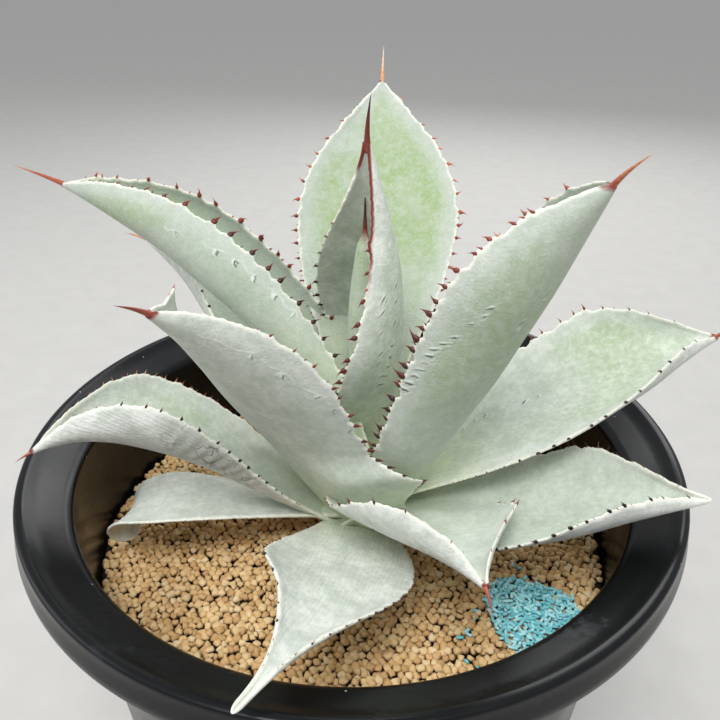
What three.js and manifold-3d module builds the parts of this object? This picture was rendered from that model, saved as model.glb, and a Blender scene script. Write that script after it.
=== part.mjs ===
// Potted dragon toes agave: a rosette of thick, toothed leaves in a black plastic pot of gritty soil.
// Units are millimetres, +Z is up, and the origin is the middle of the pot's underside.

import * as THREE from "three";
import { mergeVertices } from "three/addons/utils/BufferGeometryUtils.js";
import Module from "manifold-3d";

const wasm = await Module();
wasm.setup();

// Clearance kept between pieces that touch
const gap = 0.3;

// The pot: a tapered tub with a dished flange, a skirt round it and a shallow foot
const pot = {
  height: 210,
  crestRadius: 121.4,
  skirtRadius: 122.8,
  skirtDepth: 11.7,
  skirtThickness: 3,
  lipRadius: 104.9,
  lipDrop: 7.8,
  neckRadius: 107,
  baseRadius: 92,
  floorTop: 6,
  floorRadius: 89.6,
  padRadius: 25,
  footWidth: 11,
  footHeight: 3,
  holeRadius: 5,
  holeCircle: 48,
  holes: 6,
  segments: 48,
};

// The soil: coarse clay grit, shown as a relief of grains larger than life
const soil = {
  edgeHeight: 163,
  edgeRadius: 100.4,
  crown: 2.5,
  rings: 16,
  grainRise: 1.3,
  valleyDrop: 0.9,
  seed: 11,
};

// The short trunk that carries the leaves
const stem = {
  x: 3,
  y: 0,
  bottom: 135,
  shoulder: 180,
  top: 213,
  lowRadius: 12,
  midRadius: 11,
  topRadius: 6.5,
};

// The slow-release granules lying in a heap on the soil
const feed = {
  x: 65,
  y: -48,
  radius: 16.5,
  baseHeight: 164.4,
  baseThickness: 1,
  grainLength: 4.6,
  grainRadius: 1.25,
  spacing: 4.9,
  seed: 5,
};

// The tightly rolled leaf at the heart
const heart = {
  foot: [4.6, 0, 213.4],
  tip: [3.7, -3, 294],
  footRadius: 3.8,
  bellyRadius: 6.2,
  tipRadius: 1.5,
  overlap: 0.16,
  sides: 11,
  rings: 7,
};

// Leaves, from the heart outwards. Azimuth is the way that a leaf points, from +X towards +Y, and sweep is
// how far it has turned at its tip. Rise is its slope at the foot and the tip, and bend says how late it
// changes. Roll twists it about its own midrib. Fold is the turn of each half of its channel at the foot,
// the middle and the tip. All are degrees, and the rest are millimetres or shares of the length or width.
// A bump is a place where one edge stands out, and a curl is a tip that rolls under.
const leaves = [
  {
    name: "leaf_01_bud", azimuth: 14, sweep: 45, height: 192, length: 136, rise: [48, 113], bend: 0.36,
    roll: [-37, -10], halfWidth: 38, widest: 0.44, footShare: 0.42, taper: 1.2, fold: [140, 89, 124],
    thick: [3, 2.4, 1.6], across: 7, spine: { azimuth: 300, rise: 80, length: 15 },
  },
  {
    name: "leaf_02_back", azimuth: 80, sweep: 10, height: 213, length: 139, rise: [67, 40], bend: 1.2,
    roll: [-8, 4], halfWidth: 30, widest: 0.56, footShare: 0.4, taper: 1.2, fold: [50, 20, 40],
    thick: [7, 4.5, 2.4], across: 5, spine: { azimuth: 87, rise: 44, length: 17 },
  },
  {
    name: "leaf_03_left_high", azimuth: 159, sweep: 0, height: 205, length: 149, rise: [71, 18], bend: 0.6,
    roll: [22, 8], halfWidth: 29, widest: 0.57, footShare: 0.76, taper: 0.92, fold: [70, 128, 99],
    thick: [6, 4, 2], across: 7, spine: { azimuth: 168, rise: 16, length: 21 },
  },
  {
    name: "leaf_06_left_front", azimuth: 224, sweep: 11, height: 175, length: 140, rise: [62, 48], bend: 1.8,
    roll: [9, 5], halfWidth: 30, widest: 0.61, footShare: 0.9, taper: 0.88, fold: [64, 24, 100],
    thick: [7, 4.5, 2.2], across: 5, spine: { azimuth: 250, rise: 31, length: 15 },
    bumps: [
      { edge: -1, at: 0.87, reach: [0.07, 0.07], out: 6 },
      { edge: 1, at: 0.1, reach: [0.3, 0.12], out: 16 },
    ],
  },
  {
    name: "leaf_04_right_high", azimuth: 324, sweep: -2, height: 178, length: 161, rise: [53, 70], bend: 0.6,
    roll: [14, 4], halfWidth: 33, widest: 0.71, footShare: 0.62, taper: 0.71, fold: [51, 87, 89],
    thick: [7, 4.5, 2.2], across: 7, spine: { azimuth: 294, rise: 42, length: 17 },
  },
  {
    name: "leaf_05_left_back", azimuth: 143, sweep: -2, height: 196, length: 131, rise: [40, 18], bend: 1.2,
    roll: [-11, 34], halfWidth: 28, widest: 0.5, footShare: 0.6, taper: 1.1, fold: [34, 57, 95],
    thick: [7, 4, 2], across: 5, spine: { azimuth: 152, rise: 0, length: 12 },
  },
  {
    name: "leaf_07_right", azimuth: 5, sweep: 4, height: 187, length: 141, rise: [26, 22], bend: 1.3,
    roll: [2, 5], halfWidth: 31, widest: 0.69, footShare: 0.6, taper: 1.1, fold: [31, 34, 123],
    thick: [7, 4.5, 2], across: 5, spine: { azimuth: 20, rise: 20, length: 13 },
  },
  {
    name: "leaf_08_left_arching", azimuth: 187, sweep: 15, height: 170, length: 125, rise: [36, -19], bend: 4,
    roll: [-1, 21], halfWidth: 30, widest: 0.67, footShare: 0.4, taper: 1.44, fold: [31, 56, 128],
    thick: [7, 4, 1.6], across: 5, spine: { azimuth: 182, rise: -35, length: 8 },
  },
  {
    name: "leaf_09_right_low", azimuth: 330, sweep: 12, height: 180, length: 123, rise: [13, 29], bend: 1.3,
    roll: [4, -4], halfWidth: 28, widest: 0.59, footShare: 0.6, taper: 1.2, fold: [48, 30, 130],
    thick: [6, 4, 1.6], across: 5,
  },
  {
    name: "leaf_10_front_right", azimuth: 296, sweep: -2, height: 181, length: 85, rise: [28, 12], bend: 1.3,
    roll: [-14, -18], halfWidth: 32, widest: 0.63, footShare: 0.65, taper: 1.39, fold: [37, 34, 130],
    thick: [6, 4, 1.6], across: 5, spine: { azimuth: 268, rise: 8, length: 13 },
  },
  {
    name: "leaf_11_left_low", azimuth: 192, sweep: -12, height: 173, length: 95, rise: [17, -32], bend: 2.2,
    roll: [27, 9], halfWidth: 21, widest: 0.7, footShare: 0.55, taper: 0.97, fold: [5, 5, 35],
    thick: [5, 3.5, 1.6], across: 5, curl: { from: 0.84, turn: -110 },
  },
  {
    name: "leaf_12_front_low", azimuth: 267, sweep: -22, height: 172, length: 130, rise: [25, 16], bend: 1.4,
    roll: [-2, -18], halfWidth: 23, widest: 0.37, footShare: 0.55, taper: 2.2, fold: [18, 22, 130],
    thick: [6, 4, 1.6], across: 5, bumps: [{ edge: -1, at: 0.57, reach: [0.22, 0.06], out: 5 }],
  },
  {
    name: "leaf_13_back_right", azimuth: 35, sweep: 4, height: 174, length: 90, rise: [28, 22], bend: 1.3,
    roll: [0, 0], halfWidth: 22, widest: 0.5, footShare: 0.6, taper: 1.1, fold: [45, 35, 80],
    thick: [6, 4, 2], across: 5, spine: { azimuth: 39, rise: 20, length: 13 },
  },
  {
    name: "leaf_14_back_left", azimuth: 118, sweep: -4, height: 184, length: 95, rise: [42, 24], bend: 1.3,
    roll: [0, 0], halfWidth: 24, widest: 0.52, footShare: 0.6, taper: 1.1, fold: [45, 30, 80],
    thick: [6, 4, 2], across: 5, spine: { azimuth: 114, rise: 22, length: 13 },
  },
  {
    name: "leaf_15_back_low", azimuth: 88, sweep: 5, height: 176, length: 118, rise: [30, 4], bend: 1.4,
    roll: [0, 0], halfWidth: 27, widest: 0.55, footShare: 0.6, taper: 1.2, fold: [40, 28, 90],
    thick: [6, 4, 1.8], across: 5, spine: { azimuth: 93, rise: 2, length: 12 },
  },
];

// What all leaves share: where their feet stand on the trunk, their edges and their teeth
const blade = {
  footRadius: 8,
  tipHalfWidth: 1.2,
  edge: 1,
  teeth: 8,
  firstTooth: 0.27,
  lastTooth: 0.9,
  toothBase: 2.6,
  toothLength: 3.4,
  toothLean: 1,
  pathSteps: 60,
};

const spineRadius = 1.35;

const rad = THREE.MathUtils.degToRad;

// A repeatable source of numbers from 0 to 1
function seeded(seed) {
  let state = seed;
  return () => {
    state = (state * 16807) % 2147483647;
    return state / 2147483647;
  };
}

function direction(azimuth, rise) {
  const flat = Math.cos(rad(rise));
  return new THREE.Vector3(
    flat * Math.cos(rad(azimuth)),
    flat * Math.sin(rad(azimuth)),
    Math.sin(rad(rise)),
  );
}

// Corner lists to geometry, with its faces pointing out whichever way they were listed
function closedGeometry(points, faces) {
  let volume = 0;
  const cross = new THREE.Vector3();
  for (const [a, b, c] of faces) {
    volume += points[a].dot(cross.crossVectors(points[b], points[c]));
  }
  const geometry = new THREE.BufferGeometry();
  const flat = points.flatMap((p) => [p.x, p.y, p.z]);
  geometry.setAttribute("position", new THREE.Float32BufferAttribute(flat, 3));
  geometry.setIndex(faces.flatMap(([a, b, c]) => (volume > 0 ? [a, b, c] : [a, c, b])));
  return geometry;
}

function toSolid(geometry) {
  const bare = geometry.clone();
  bare.deleteAttribute("normal");
  bare.deleteAttribute("uv");
  const merged = mergeVertices(bare, 1e-4);
  return new wasm.Manifold(new wasm.Mesh({
    numProp: 3,
    vertProperties: new Float32Array(merged.attributes.position.array),
    triVerts: new Uint32Array(merged.index.array),
  }));
}

function toGeometry(solid) {
  const mesh = solid.getMesh();
  const geometry = new THREE.BufferGeometry();
  geometry.setAttribute("position", new THREE.Float32BufferAttribute(mesh.vertProperties, 3));
  geometry.setIndex(Array.from(mesh.triVerts));
  geometry.computeVertexNormals();
  return geometry;
}

// The largest body of a solid, so that a cut leaves no loose scrap
function largest(solid) {
  const bodies = solid.decompose();
  return bodies.reduce((best, body) => (body.volume() > best.volume() ? body : best));
}

// Rings of corners with a flat cap at both ends
function loft(rings) {
  const points = rings.flat();
  const count = rings[0].length;
  const faces = [];
  for (let i = 0; i + 1 < rings.length; i += 1) {
    for (let j = 0; j < count; j += 1) {
      const a = i * count + j;
      const b = i * count + ((j + 1) % count);
      faces.push([a, b, b + count], [a, b + count, a + count]);
    }
  }
  const last = (rings.length - 1) * count;
  for (let j = 1; j + 1 < count; j += 1) {
    faces.push([0, j + 1, j], [last, last + j, last + j + 1]);
  }
  return closedGeometry(points, faces);
}

// Half the width of a leaf at share t of its length
function halfWidthAt(leaf, t) {
  const toWidest = Math.sin((Math.PI / 2) * Math.min(t / leaf.widest, 1)) ** 1.5;
  const pastWidest = Math.max(t - leaf.widest, 0) / (1 - leaf.widest);
  const inner = leaf.footShare + (1 - leaf.footShare) * toWidest;
  const outer = Math.cos((Math.PI / 2) * Math.min(pastWidest, 1)) ** leaf.taper;
  return leaf.halfWidth * (t < leaf.widest ? inner : outer) + blade.tipHalfWidth * t;
}

// A value given at the foot, the middle and the tip, anywhere between them
function alongThree([foot, middle, tip], t) {
  return foot * (1 - t) * (1 - 2 * t) + middle * 4 * t * (1 - t) + tip * t * (2 * t - 1);
}

// How far the edge stands out at its bumps
function bumpAt(leaf, share, t) {
  let out = 0;
  for (const bump of leaf.bumps ?? []) {
    const reach = t < bump.at ? bump.reach[0] : bump.reach[1];
    out += share === bump.edge ? bump.out * Math.max(0, 1 - Math.abs(t - bump.at) / reach) : 0;
  }
  return out;
}

// The slope of the midrib at share t of its length
function riseAt(leaf, t) {
  const rise = leaf.rise[0] + (leaf.rise[1] - leaf.rise[0]) * t ** leaf.bend;
  if (!leaf.curl || t < leaf.curl.from) {
    return rise;
  }
  return rise + leaf.curl.turn * ((t - leaf.curl.from) / (1 - leaf.curl.from)) ** 1.5;
}

// The midrib's point and the blade's own axes at share t of its length
function bladeFrame(leaf, t) {
  const azimuth = (share) => leaf.azimuth + leaf.sweep * share;
  const out = direction(leaf.azimuth, 0);
  const point = new THREE.Vector3(stem.x, stem.y, leaf.height).addScaledVector(out, blade.footRadius);
  const step = 1 / blade.pathSteps;
  for (let start = 0; start < t - 1e-9; start += step) {
    const share = Math.min(step, t - start);
    const middle = start + share / 2;
    point.addScaledVector(direction(azimuth(middle), riseAt(leaf, middle)), share * leaf.length);
  }
  const along = direction(azimuth(t), riseAt(leaf, t));
  const level = direction(azimuth(t) + 90, 0);
  const upper = new THREE.Vector3().crossVectors(along, level);
  const roll = rad(leaf.roll[0] + (leaf.roll[1] - leaf.roll[0]) * t);
  const side = level.clone().multiplyScalar(Math.cos(roll)).addScaledVector(upper, Math.sin(roll));
  const face = upper.clone().multiplyScalar(Math.cos(roll)).addScaledVector(level, -Math.sin(roll));
  return { point, along, side, face };
}

// One slice of the blade: the upper row of corners, the lower row and the way out at both edges
function bladeSlice(leaf, t, grow) {
  const inside = Math.min(Math.max(t, 0), 1);
  const { point, along, side, face } = bladeFrame(leaf, inside);
  point.addScaledVector(along, (t - inside) * leaf.length);
  const half = halfWidthAt(leaf, inside) + grow;
  const turn = Math.max(rad(alongThree(leaf.fold, inside)), 0.01);
  const curve = half / turn;
  const middle = alongThree(leaf.thick, inside);
  const outward = (sign) => (
    side.clone().multiplyScalar(sign * Math.cos(turn)).addScaledVector(face, Math.sin(turn))
  );
  const place = (share, depth) => {
    const angle = share * turn;
    const x = curve * Math.sin(angle) - depth * Math.sin(angle);
    const y = curve * (1 - Math.cos(angle)) + depth * Math.cos(angle);
    const corner = point.clone().addScaledVector(side, x).addScaledVector(face, y);
    return corner.addScaledVector(outward(share), bumpAt(leaf, share, inside));
  };
  const upper = [];
  const lower = [];
  for (let j = 0; j < leaf.across; j += 1) {
    const share = -1 + (2 * j) / (leaf.across - 1);
    const depth = (blade.edge + (middle - blade.edge) * (1 - share * share)) / 2 + grow;
    upper.push(place(share, Math.min(depth, curve * 0.55)));
    lower.push(place(share, -depth));
  }
  return { upper, lower, along, outward };
}

// Where the slices of a blade lie: a few at the foot, a pair at each tooth and one at the tip
function sliceShares(leaf) {
  const shares = [0, 0.1, 0.19];
  const pitch = (blade.lastTooth - blade.firstTooth) / (blade.teeth - 1);
  const halfBase = blade.toothBase / 2 / leaf.length;
  for (let k = 0; k < blade.teeth; k += 1) {
    const middle = blade.firstTooth + k * pitch;
    shares.push(middle - halfBase, middle + halfBase);
  }
  return [...shares, 0.96, 1];
}

// A blade with a tooth on each edge at every pair of slices
function bladeGeometry(leaf, grow) {
  const shares = sliceShares(leaf);
  shares[0] -= grow / leaf.length;
  shares[shares.length - 1] += grow / leaf.length;
  const slices = shares.map((t) => bladeSlice(leaf, t, grow));
  const across = leaf.across;
  const points = slices.flatMap((slice) => [...slice.upper, ...slice.lower]);
  const up = (i, j) => i * 2 * across + j;
  const low = (i, j) => i * 2 * across + across + j;
  const faces = [];
  const quad = (a, b, c, d) => faces.push([a, b, c], [a, c, d]);
  for (let i = 0; i + 1 < slices.length; i += 1) {
    for (let j = 0; j + 1 < across; j += 1) {
      quad(up(i, j), up(i + 1, j), up(i + 1, j + 1), up(i, j + 1));
      quad(low(i, j), low(i, j + 1), low(i + 1, j + 1), low(i + 1, j));
    }
    const toothed = i >= 3 && i < 3 + 2 * blade.teeth && (i - 3) % 2 === 0;
    for (const edge of [0, across - 1]) {
      const corners = [low(i, edge), low(i + 1, edge), up(i + 1, edge), up(i, edge)];
      if (edge !== 0) {
        corners.reverse();
      }
      if (toothed) {
        const lean = ((i * 7 + edge) % 3) - 1;
        const out = slices[i].outward(edge === 0 ? -1 : 1);
        const tip = corners.reduce((sum, c) => sum.add(points[c]), new THREE.Vector3()).multiplyScalar(0.25);
        tip.addScaledVector(out, blade.toothLength + grow);
        tip.addScaledVector(slices[i].along, lean * blade.toothLean);
        points.push(tip);
        const apex = points.length - 1;
        corners.forEach((c, n) => faces.push([c, corners[(n + 1) % 4], apex]));
      } else {
        quad(...corners);
      }
    }
  }
  const end = slices.length - 1;
  for (let j = 0; j + 1 < across; j += 1) {
    quad(up(0, j), up(0, j + 1), low(0, j + 1), low(0, j));
    quad(up(end, j + 1), up(end, j), low(end, j), low(end, j + 1));
  }
  return closedGeometry(points, faces);
}

// A thorn that starts square to a frame and bends to its own direction
function spineGeometry(start, along, side, face, aim, length, radius) {
  const end = start.clone().addScaledVector(aim, length);
  const bend = start.clone().addScaledVector(along, length * 0.3);
  const curve = new THREE.QuadraticBezierCurve3(start, bend, end);
  const sides = 7;
  const points = [];
  const faces = [];
  const stations = [0, 0.3, 0.65];
  for (const t of stations) {
    const centre = curve.getPoint(t);
    const r = radius * (1 - t) ** 0.8;
    for (let j = 0; j < sides; j += 1) {
      const angle = (j / sides) * 2 * Math.PI;
      points.push(centre.clone()
        .addScaledVector(side, r * Math.cos(angle))
        .addScaledVector(face, r * Math.sin(angle)));
    }
  }
  points.push(end);
  const apex = points.length - 1;
  for (let j = 0; j < sides; j += 1) {
    const next = (j + 1) % sides;
    for (let i = 0; i + 1 < stations.length; i += 1) {
      const a = i * sides;
      faces.push([a + j, a + next, a + sides + next], [a + j, a + sides + next, a + sides + j]);
    }
    const last = (stations.length - 1) * sides;
    faces.push([last + j, last + next, apex]);
    if (j > 0 && j + 1 < sides) {
      faces.push([0, j + 1, j]);
    }
  }
  return closedGeometry(points, faces);
}

function leafSpine(leaf) {
  const { point, along, side, face } = bladeFrame(leaf, 1);
  const start = point.addScaledVector(along, gap).addScaledVector(face, 0.4);
  const aim = direction(leaf.spine.azimuth, leaf.spine.rise);
  return spineGeometry(start, along, side, face, aim, leaf.spine.length, spineRadius);
}

// The heart: a cone whose outer margin laps over itself, so each ring is a short spiral
function heartGeometry(grow) {
  const foot = new THREE.Vector3(...heart.foot);
  const tip = new THREE.Vector3(...heart.tip);
  const rings = [];
  for (let i = 0; i < heart.rings; i += 1) {
    const t = i / (heart.rings - 1);
    const radius = alongThree([heart.footRadius, heart.bellyRadius, heart.tipRadius], t) + grow;
    const centre = foot.clone().lerp(tip, t);
    const ring = [];
    for (let j = 0; j < heart.sides; j += 1) {
      const turn = j / (heart.sides - 1);
      const angle = -0.9 + turn * 2 * Math.PI * 0.985;
      const r = radius * (1 + heart.overlap * (turn - 0.5));
      ring.push(centre.clone().add(new THREE.Vector3(r * Math.cos(angle), r * Math.sin(angle), 0)));
    }
    rings.push(ring);
  }
  if (grow > 0) {
    rings[0].forEach((p) => { p.z -= grow; });
    rings[heart.rings - 1].forEach((p) => { p.z += grow; });
  }
  return loft(rings);
}

function heartSpine() {
  const axis = new THREE.Vector3(...heart.tip).sub(new THREE.Vector3(...heart.foot)).normalize();
  const start = new THREE.Vector3(...heart.tip).add(new THREE.Vector3(0, 0, gap));
  const side = new THREE.Vector3(1, 0, 0);
  const face = new THREE.Vector3(0, 1, 0);
  return spineGeometry(start, axis, side, face, axis, 13, 1.3);
}

function turned(profile, segments) {
  const geometry = new THREE.LatheGeometry(profile.map(([r, z]) => new THREE.Vector2(r, z)), segments);
  geometry.rotateX(Math.PI / 2);
  return geometry;
}

function cylinderSolid(radius, bottom, top, x, y, sides) {
  const geometry = new THREE.CylinderGeometry(radius, radius, top - bottom, sides);
  geometry.rotateX(Math.PI / 2);
  geometry.translate(x, y, (bottom + top) / 2);
  return toSolid(geometry);
}

// The tub, turned from one closed profile, with its drain holes cut through the floor
function potGeometry() {
  const skirtFoot = pot.height - pot.skirtDepth;
  const skirtInside = pot.skirtRadius - pot.skirtThickness;
  const footInside = pot.baseRadius - 2 - pot.footWidth;
  const profile = [
    [0, 0],
    [pot.padRadius, 0],
    [pot.padRadius + 3, pot.footHeight],
    [footInside - 3, pot.footHeight],
    [footInside, 0],
    [pot.baseRadius - 2, 0],
    [pot.baseRadius, 2],
    [pot.neckRadius, skirtFoot],
    [pot.neckRadius + 3, pot.height - 6],
    [skirtInside - 1, pot.height - 4.5],
    [skirtInside, skirtFoot],
    [pot.skirtRadius, skirtFoot],
    [pot.skirtRadius + 0.2, skirtFoot + 2.5],
    [pot.skirtRadius - 0.8, pot.height - 4],
    [pot.crestRadius + 1, pot.height - 1],
    [pot.crestRadius, pot.height],
    [pot.crestRadius - 1.8, pot.height - 0.4],
    [pot.lipRadius + 1, pot.height - pot.lipDrop + 0.6],
    [pot.lipRadius - 1, pot.height - pot.lipDrop - 1.4],
    [pot.floorRadius, pot.floorTop],
    [0, pot.floorTop],
  ];
  let body = toSolid(turned(profile, pot.segments));
  for (let k = 0; k < pot.holes; k += 1) {
    const angle = (k / pot.holes) * 2 * Math.PI;
    const x = pot.holeCircle * Math.cos(angle);
    const y = pot.holeCircle * Math.sin(angle);
    body = body.subtract(cylinderSolid(pot.holeRadius, -1, pot.floorTop + 1, x, y, 12));
  }
  return toGeometry(body);
}

// Height of the soil before its grains: highest at the trunk, flat under the granules
function soilLevel(x, y) {
  const radius = Math.hypot(x, y) / soil.edgeRadius;
  return soil.edgeHeight + soil.crown * (1 - radius * radius);
}

function nearFeed(x, y) {
  return Math.hypot(x - feed.x, y - feed.y) < feed.radius + 4.5;
}

// A hexagonal net of corners, every third of them the top of a grain, over the pot's filling
function soilGeometry() {
  const random = seeded(soil.seed);
  const axial = [[1, 0], [0, 1], [-1, 1], [-1, 0], [0, -1], [1, -1]];
  const points = [new THREE.Vector3(0, 0, soilLevel(0, 0))];
  const first = [0];
  for (let k = 1; k <= soil.rings; k += 1) {
    first.push(points.length);
    for (let q = 0; q < 6; q += 1) {
      for (let o = 0; o < k; o += 1) {
        const step = axial[(q + 2) % 6];
        const i = k * axial[q][0] + o * step[0];
        const j = k * axial[q][1] + o * step[1];
        const rim = k === soil.rings;
        const angle = ((q + o / k) / 6) * 2 * Math.PI + (rim ? 0 : (random() - 0.5) * 0.35 / k);
        const radius = (k + (rim ? 0 : (random() - 0.5) * 0.35)) * (soil.edgeRadius / soil.rings);
        const x = radius * Math.cos(angle);
        const y = radius * Math.sin(angle);
        const grain = (((i - j) % 3) + 3) % 3 === 0;
        let z = soilLevel(x, y) + (grain ? soil.grainRise : -soil.valleyDrop) * (0.5 + random());
        if (nearFeed(x, y)) {
          z = feed.baseHeight - gap - 0.3 * random();
        }
        points.push(new THREE.Vector3(x, y, z));
      }
    }
  }
  const faces = [];
  for (let k = 0; k < soil.rings; k += 1) {
    for (let q = 0; q < 6; q += 1) {
      const inner = (o) => (k === 0 ? 0 : first[k] + ((q * k + o) % (6 * k)));
      const outer = (o) => first[k + 1] + ((q * (k + 1) + o) % (6 * (k + 1)));
      for (let o = 0; o <= k; o += 1) {
        faces.push([outer(o), outer(o + 1), inner(o)]);
        if (o < k) {
          faces.push([inner(o), outer(o + 1), inner(o + 1)]);
        }
      }
    }
  }
  const edge = first[soil.rings];
  const count = 6 * soil.rings;
  const bottom = points.length;
  for (let m = 0; m < count; m += 1) {
    const angle = (m / count) * 2 * Math.PI;
    const radius = pot.floorRadius - 0.6;
    points.push(new THREE.Vector3(radius * Math.cos(angle), radius * Math.sin(angle), pot.floorTop + gap));
  }
  points.push(new THREE.Vector3(0, 0, pot.floorTop + gap));
  const centre = points.length - 1;
  for (let m = 0; m < count; m += 1) {
    const next = (m + 1) % count;
    faces.push([edge + m, bottom + m, bottom + next], [edge + m, bottom + next, edge + next]);
    faces.push([bottom + m, centre, bottom + next]);
  }
  return closedGeometry(points, faces);
}

function stemProfile(grow) {
  return [
    [0, stem.bottom - grow],
    [stem.lowRadius + grow, stem.bottom - grow],
    [stem.midRadius + grow, stem.shoulder],
    [stem.topRadius + grow, stem.top + grow],
    [0, stem.top + grow],
  ];
}

function stemSolid(grow) {
  return toSolid(turned(stemProfile(grow), 14).translate(stem.x, stem.y, 0));
}

// The heap of granules: short prisms lying every way on a thin bed of more of them
function feedGeometry() {
  const random = seeded(feed.seed);
  const bedSides = 18;
  const bed = [];
  for (const z of [feed.baseHeight, feed.baseHeight + feed.baseThickness]) {
    const ring = [];
    for (let j = 0; j < bedSides; j += 1) {
      const angle = (j / bedSides) * 2 * Math.PI;
      const radius = feed.radius * (0.9 + 0.1 * Math.sin(angle * 3 + 1));
      ring.push(new THREE.Vector3(feed.x + radius * Math.cos(angle), feed.y + radius * Math.sin(angle), z));
    }
    bed.push(ring);
  }
  let heap = toSolid(loft(bed));
  const rows = Math.ceil(feed.radius / feed.spacing) + 1;
  for (let row = -rows; row <= rows; row += 1) {
    for (let column = -rows; column <= rows; column += 1) {
      const x = (column + (row % 2) / 2) * feed.spacing + (random() - 0.5) * 1.2;
      const y = row * feed.spacing * 0.87 + (random() - 0.5) * 1.2;
      const yaw = random() * Math.PI;
      const pitch = (random() - 0.5) * 0.7;
      if (Math.hypot(x, y) > feed.radius * 0.86) {
        continue;
      }
      const grain = new THREE.CylinderGeometry(feed.grainRadius, feed.grainRadius, feed.grainLength, 5);
      grain.rotateX(pitch);
      grain.rotateZ(yaw);
      grain.translate(feed.x + x, feed.y + y, feed.baseHeight + feed.baseThickness + 0.5);
      heap = heap.add(toSolid(grain));
    }
  }
  return toGeometry(largest(heap));
}

// Finishes
const leafSkin = () => new THREE.MeshStandardMaterial({ color: 0xbccabd, roughness: 0.62, metalness: 0 });
const thorn = () => new THREE.MeshStandardMaterial({ color: 0xa8482e, roughness: 0.45, metalness: 0 });
const blackPlastic = () => new THREE.MeshStandardMaterial({ color: 0x1b1e22, roughness: 0.28, metalness: 0 });
const firedClay = () => new THREE.MeshStandardMaterial({ color: 0xb08d62, roughness: 0.95, metalness: 0 });
const bluePellets = () => new THREE.MeshStandardMaterial({ color: 0x6fc3cf, roughness: 0.6, metalness: 0 });
const trunk = () => new THREE.MeshStandardMaterial({ color: 0x9fa888, roughness: 0.8, metalness: 0 });

function piece(name, geometry, material) {
  const mesh = new THREE.Mesh(geometry, material);
  mesh.name = name;
  return mesh;
}

// The leaves keep clear of the trunk, of the heart and of every leaf further in
function plantPieces() {
  const pieces = [];
  const stemGrown = stemSolid(gap);
  const inner = [stemGrown, toSolid(heartGeometry(gap))];
  const thorns = [toSolid(heartSpine())];
  pieces.push(piece("heart_leaf", heartGeometry(0), leafSkin()));
  pieces.push(piece("heart_spine", heartSpine(), thorn()));
  for (const leaf of leaves.filter((each) => each.spine)) {
    const geometry = leafSpine(leaf);
    pieces.push(piece(leaf.name.replace("leaf", "spine"), geometry, thorn()));
    thorns.push(toSolid(geometry));
  }
  for (const leaf of leaves) {
    let solid = toSolid(bladeGeometry(leaf, 0));
    for (const other of [...inner, ...thorns]) {
      solid = solid.subtract(other);
    }
    pieces.push(piece(leaf.name, toGeometry(largest(solid)), leafSkin()));
    inner.push(toSolid(bladeGeometry(leaf, gap)));
  }
  return { pieces, inner };
}

const agave = new THREE.Group();
const { pieces, inner } = plantPieces();
agave.add(piece("pot", potGeometry(), blackPlastic()));
let ground = toSolid(soilGeometry());
for (const solid of inner) {
  ground = ground.subtract(solid);
}
agave.add(piece("soil", toGeometry(largest(ground)), firedClay()));
agave.add(piece("feed_granules", feedGeometry(), bluePellets()));
agave.add(piece("stem", toGeometry(stemSolid(0)), trunk()));
agave.add(...pieces);

export default agave;
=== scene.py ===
import math
import random

import bpy
import numpy as np
from mathutils import Matrix, Vector


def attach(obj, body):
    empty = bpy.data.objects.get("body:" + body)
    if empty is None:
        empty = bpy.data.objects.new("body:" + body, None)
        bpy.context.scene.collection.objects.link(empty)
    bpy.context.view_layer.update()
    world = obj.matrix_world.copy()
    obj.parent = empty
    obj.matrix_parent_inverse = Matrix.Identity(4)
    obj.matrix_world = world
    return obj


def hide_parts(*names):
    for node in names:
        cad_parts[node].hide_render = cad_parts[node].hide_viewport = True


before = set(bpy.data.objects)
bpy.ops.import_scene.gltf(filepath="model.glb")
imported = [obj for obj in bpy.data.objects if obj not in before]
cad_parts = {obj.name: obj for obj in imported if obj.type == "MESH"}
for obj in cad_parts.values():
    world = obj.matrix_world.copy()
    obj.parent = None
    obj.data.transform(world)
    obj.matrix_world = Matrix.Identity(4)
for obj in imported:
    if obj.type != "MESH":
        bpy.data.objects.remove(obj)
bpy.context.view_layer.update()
bpy.ops.object.select_all(action="DESELECT")
print("frame loaded:", len(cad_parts), "nodes")

mm = 0.001


# camera: the photograph's own view, 30 degrees down on the rosette
camera = {
    "aim": (2.4, 57.7, 210.0),       # mm, the point that the middle of the frame looks at
    "distance": 333.8,               # mm
    "tiltDown": 29.70,               # degrees
    "roll": 0.505,                   # degrees
    "lens": 36.7, "sensor": 36,      # mm
    "near": 0.01, "far": 50,         # m, what it draws
}


def placeCamera():
    tilt = math.radians(camera["tiltDown"])
    back = Vector((0, -math.cos(tilt), math.sin(tilt)))
    right = Vector((1, 0, 0))
    up = back.cross(right)
    roll = math.radians(camera["roll"])
    imageRight = right * math.cos(roll) + up * math.sin(roll)
    imageUp = up * math.cos(roll) - right * math.sin(roll)
    data = bpy.data.cameras.new("camera")
    data.lens = camera["lens"]
    data.sensor_width = camera["sensor"]
    data.clip_start = camera["near"]
    data.clip_end = camera["far"]
    view = bpy.data.objects.new("camera", data)
    bpy.context.scene.collection.objects.link(view)
    place = Matrix((imageRight, imageUp, back)).transposed().to_4x4()
    place.translation = (Vector(camera["aim"]) + back * camera["distance"]) * mm
    view.matrix_world = place
    bpy.context.scene.camera = view


placeCamera()


# small helpers shared by every piece

def linearColour(code):
    parts = [int(code[i:i + 2], 16) / 255 for i in (1, 3, 5)]
    return tuple(p / 12.92 if p <= 0.04045 else ((p + 0.055) / 1.055) ** 2.4 for p in parts) + (1.0,)


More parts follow.
